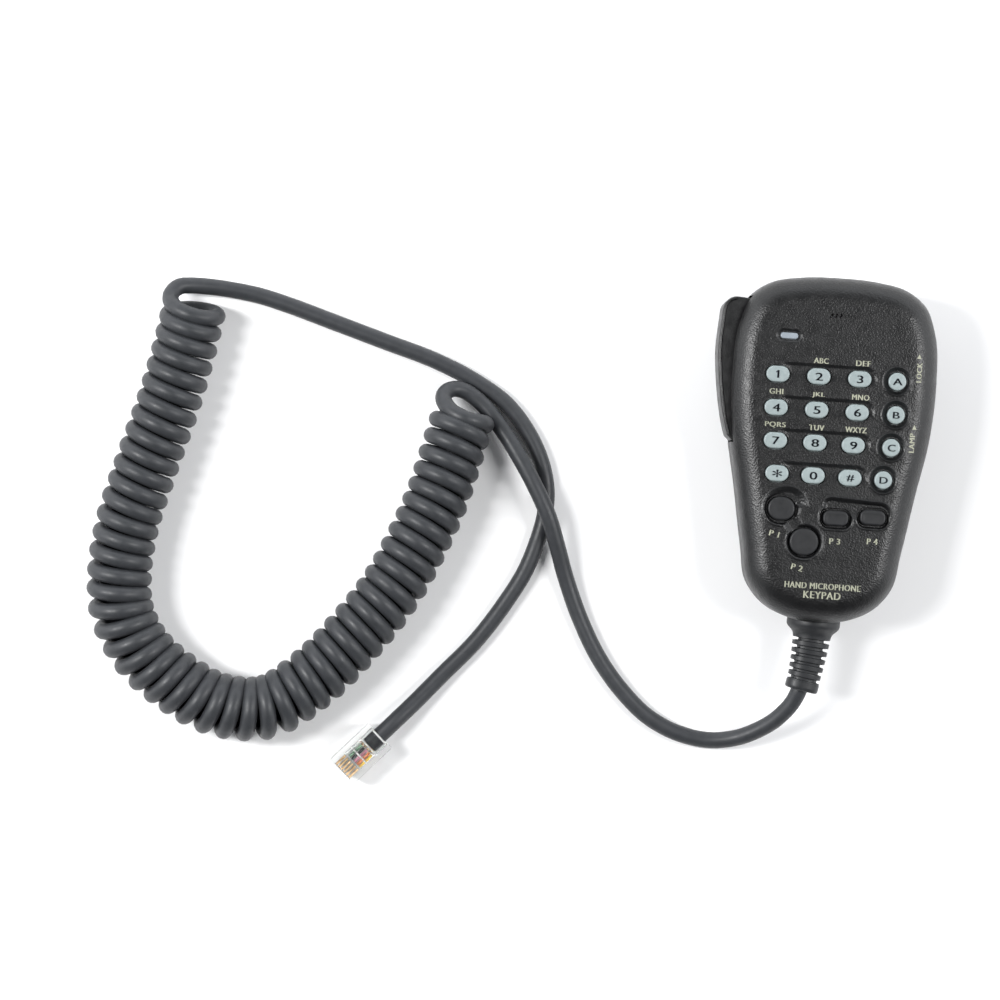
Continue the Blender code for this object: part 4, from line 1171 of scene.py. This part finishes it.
def make_digits():
    for name, (text, height, stretch) in zip(KEYS, sum(KEY_PRINT, ())):
        centre = keyed_opening(name)[0]
        top = box_of(name)[1][2]

        def key_top(flat):
            return np.full(len(flat), top)

        bm = bmesh.new()
        for shift in (-BOLD_KEY, 0.0, BOLD_KEY):
            at = centre + (0.05 + shift, -0.05)
            print_on(bm, letters(text, height, stretch), at, 0, key_top)
        if text == "1":
            print_on(bm, printed_shape(FLAG_OF_1), centre + FLAG_AT, FLAG_TURN, key_top)
        add_solid(name + "_print", bm, "digit_ink", name, "key_plastic", 35)


def make_labels(case):
    def on_face(flat):
        return case.surface(flat) + 0.7 * PRINT_THICK

    def raised(flat):
        return case.surface(flat) + 2 * PRINT_THICK

    bm = bmesh.new()
    for text, at, height, width, turn in CASE_PRINT:
        for shift in (-BOLD_LABEL, BOLD_LABEL):
            aside = shift * flat_turn(turn)[0]
            shape = letters(text, height, gap=0.1, width=width - 2 * BOLD_LABEL)
            print_on(bm, shape, at + aside, turn, on_face)
    for at in ARROWS_AT:
        print_on(bm, printed_shape(ARROWHEAD), at, 0, on_face)
    add_solid("case_print", bm, "label_ink", BODY, "case_plastic", 35)

    word, height, at = RAISED_WORD
    bm = bmesh.new()
    print_on(bm, letters(word, height, gap=0.1), at, 0, raised)
    add_solid("raised_word", bm, "case_plastic", BODY, smooth_angle=35)


# ---- lever and strain relief


def make_lever():
    """A flat-faced lever with rounded edges and a raised lip along its outer side."""
    centre, radius = LEVER_TOP_CORNER
    corner = [(centre[0] + radius * math.cos(angle), centre[1] + radius * math.sin(angle))
              for angle in np.radians(np.linspace(95, 175, 14))]
    outer = corner + [tuple(point) for point in spread_evenly(smooth_curve(LEVER_OUTER), 40)]
    ring = spread_round(np.array(outer + list(LEVER_INNER)), 300)
    low_z, high_z = LEVER_Z
    face = high_z - LEVER_LIP_HEIGHT
    edge = [(shrunk(ring, LEVER_EDGE * share), LEVER_EDGE * drop) for share, drop in edge_curve()]
    bm = stack([*((ring, low_z + drop) for ring, drop in reversed(edge)),
                *((ring, face - drop) for ring, drop in edge)])
    side = spread_evenly(np.array(outer), 90)
    inwards = -to_right(unit(np.gradient(side, axis=0)))
    skin([[(*(point + across * inwards[k]), face + up) for across, up in LEVER_LIP]
          for k, point in enumerate(side)], bm=bm)
    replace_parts(add_solid("lever_body", bm, "lever_plastic", "ptt_lever"), "ptt_lever")


def relief_radius(out, around):
    """The strain relief's radius, this far out from the case and this far round from its top."""
    plain = np.interp(out, *zip(*RELIEF_SHAPE))
    start, pitch, count, width, core = RELIEF_GROOVES
    nearest = min(max(round((out - start) / pitch), 0), count - 1)
    away = abs(out - start - nearest * pitch)
    open_share = 1 - step_curve((away - width / 2 + GROOVE_EDGE / 2) / GROOVE_EDGE)
    low, high = BRIDGE_ANGLES
    from_top = np.degrees(np.abs(around))
    shallow = 1 - step_curve((np.minimum(from_top, 180 - from_top) - low) / (high - low))
    floor = core + (plain - BRIDGE_DEPTH - core) * shallow
    return plain - (plain - floor) * open_share


def make_relief():
    """A boot with a flange inside the case, a collar outside it and square-shouldered ribs."""
    around = np.linspace(-math.pi, math.pi, 96, endpoint=False)
    powers = np.abs(np.cos(around)) ** RIB_POWER + np.abs(np.sin(around)) ** RIB_POWER
    squareness = 1 / powers ** (1 / RIB_POWER)
    collar = [out for out, _ in RELIEF_SHAPE[:9]] + [0.0, 0.7, 1.0, 1.3, 1.5, 1.7]
    end = [18.2] + [out for out, _ in RELIEF_SHAPE[-5:]]
    outs = np.concatenate([collar, np.arange(1.95, 4.5, 0.25), np.arange(*RIBS, 0.1), end])
    rings = []
    for out in outs:
        radius = relief_radius(out, around)
        if out > RIBS[0]:
            blend = min((out - RIBS[0]) / 0.8, 1.0)
            radius = radius * (1 + blend * (squareness - 1) * RIB_SHARE)
        place = relief_place(out)
        rings.append([tuple(place @ metres((-r * math.sin(a), -r * math.cos(a), 0)) / MM)
                      for r, a in zip(radius, around)])
    relief = add_solid("relief_boot", skin(rings), "relief_rubber", BODY, "cord_rubber", 40)
    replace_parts(relief, "strain_relief")


# ---- plug


def across_plug(width, height, radius, y):
    """A ring round the plug's own axis, at `y` from its rear face."""
    return [(x, y, z + sum(PLUG_Z) / 2) for x, z in even_pill(width, height, radius)]


def make_shell(contacts_x):
    """The clear body: hollow from its rear face, with a slot for each contact."""
    width, length = PLUG_SIZE
    height = PLUG_Z[1] - PLUG_Z[0]
    outer = [(0.55, length), (0.3, length - 0.12), (0.1, length - 0.35), (0, length - 0.6),
             (0, 0.3), (0.1, 0.08), (0.3, 0)]
    cavity = [(7.0, 4.6, 0.0), (6.6, 4.3, 0.3), (6.4, 4.1, 4.6), (6.3, 2.2, 5.4), (6.3, 2.2, 10.2)]
    rings = [across_plug(width - 2 * inset, height - 2 * inset, 0.45, y) for inset, y in outer]
    rings += [across_plug(wide, high, 0.5, y) for wide, high, y in cavity]
    half, start, floor = CONTACT_SLOT
    slots = [box_bm((x - half, start, floor), (x + half, length + 1, PLUG_Z[1] + 1))
             for x in contacts_x]
    shell = cut_away("plug_shell", skin(rings), slots, "plug_clear")
    shell.data.transform(plug_place())
    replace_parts(shell, "plug_body")


def make_jacket():
    """The end of the cord's jacket inside the plug."""
    sections = ((4.4, 4.4, -0.6), (4.6, 4.3, 0.0), (4.8, 3.9, 0.8), (4.8, 3.6, 3.9),
                (4.5, 3.3, 4.1))
    rings = [across_plug(wide, high, high / 2 - 0.1, y) for wide, high, y in sections]
    add_solid("plug_jacket", skin(rings, plug_place()), "cord_rubber", BODY)


def make_wire(number, x, colour):
    """An insulated wire that spreads from the jacket to its contact, and waves a little."""
    circle = np.linspace(0, 2 * math.pi, 16, endpoint=False)
    rings = []
    for y in np.linspace(*WIRE_Y, 24):
        spread = 0.62 + 0.38 * step_curve((y - WIRE_Y[0]) / 2.2)
        wobble = 0.12 * math.sin(y * 1.9 + (number - 1) * 2.1)
        middle = x * spread + wobble * (1 - spread) * 2
        rings.append([(middle + WIRE_R * math.cos(a), y, WIRE_Z + wobble + WIRE_R * math.sin(a))
                      for a in circle])
    bm = skin(rings, plug_place())
    add_solid(f"plug_wire_{number}", bm, colour, BODY, "cord_rubber", 60)


def make_blade(number, x):
    width, length = BLADE_SIZE
    layers = [(even_pill(width - inset, length - 2 * inset, 0.2, 24, (x, BLADE_Y)), z)
              for inset, z in ((0, 5.3), (0, 8.2), (0.06, 8.42), (0.14, 8.5))]
    bm = stack(layers, plug_place())
    blade = add_solid(f"contact_blade_{number}", bm, "gold_contact", BODY)
    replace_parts(blade, f"plug_contact_{number}")


def make_bar_or_rim_highlight(number, y, width, top):
    """A pressed bar across the plug, or the thin white strip along its rear edge that is a painted
    highlight.
    """
    layers = [(even_pill(width - inset, 0.45 - inset, 0.12, 24, (0, y)), z)
              for inset, z in ((0, top - 0.5), (0, top - 0.2), (0.12, top))]
    add_solid(f"plug_bar_or_rim_highlight_{number}", stack(layers, plug_place()), "plug_white", BODY, "plug_clear")


def make_plug():
    """The plug. Returns the names of its pieces."""
    contacts_x = [(k - (CONTACT_COUNT - 1) / 2) * CONTACT_PITCH for k in range(CONTACT_COUNT)]
    make_shell(contacts_x)
    make_jacket()
    for number, (x, colour) in enumerate(zip(contacts_x, WIRE_COLOURS), 1):
        make_wire(number, x, colour)
        make_blade(number, x)
    # the last of these is a painted highlight along the plug's rear edge, not a bar
    for number, plug_bar_or_rim_highlight in enumerate(PLUG_BARS_AND_RIM_HIGHLIGHT, 1):
        make_bar_or_rim_highlight(number, *plug_bar_or_rim_highlight)
    numbered = (("plug_wire", CONTACT_COUNT), ("contact_blade", CONTACT_COUNT),
                ("plug_bar_or_rim_highlight", len(PLUG_BARS_AND_RIM_HIGHLIGHT)))
    inside_it = [f"{kind}_{k + 1}" for kind, count in numbered for k in range(count)]
    return ["plug_shell", "plug_jacket", "plug_latch", *inside_it]


# ---- the whole object


LOOKS = make_materials()
make_camera()
make_stage()
centreline = cord_line()
cord = make_cord(centreline)
front_case = make_case()
for key_name in KEYS:
    make_key(key_name, "key_plastic", KEY_EDGE)
for button_name in PROGRAM_BUTTONS:
    make_key(button_name, "button_rubber", BUTTON_EDGE, BUTTON_DISH)
for top_key in TOP_KEYS:
    make_top_key(top_key)
for slider in SLIDERS:
    make_slider(slider)
make_window()
make_digits()
make_labels(front_case)
make_lever()
make_relief()
plug_pieces = make_plug()
tuple(relief_place(RELIEF_LENGTH).translation)
round(length_of(centreline) * MM, 2)
for name, node in frame["nodes"].items():
    subparts = frame["record"]["subparts"]
    slot_name = next(part["material_slot"] for part in subparts if part["node"] == name)
    node.data.materials.clear()
    node.data.materials.append(LOOKS[slot_name])
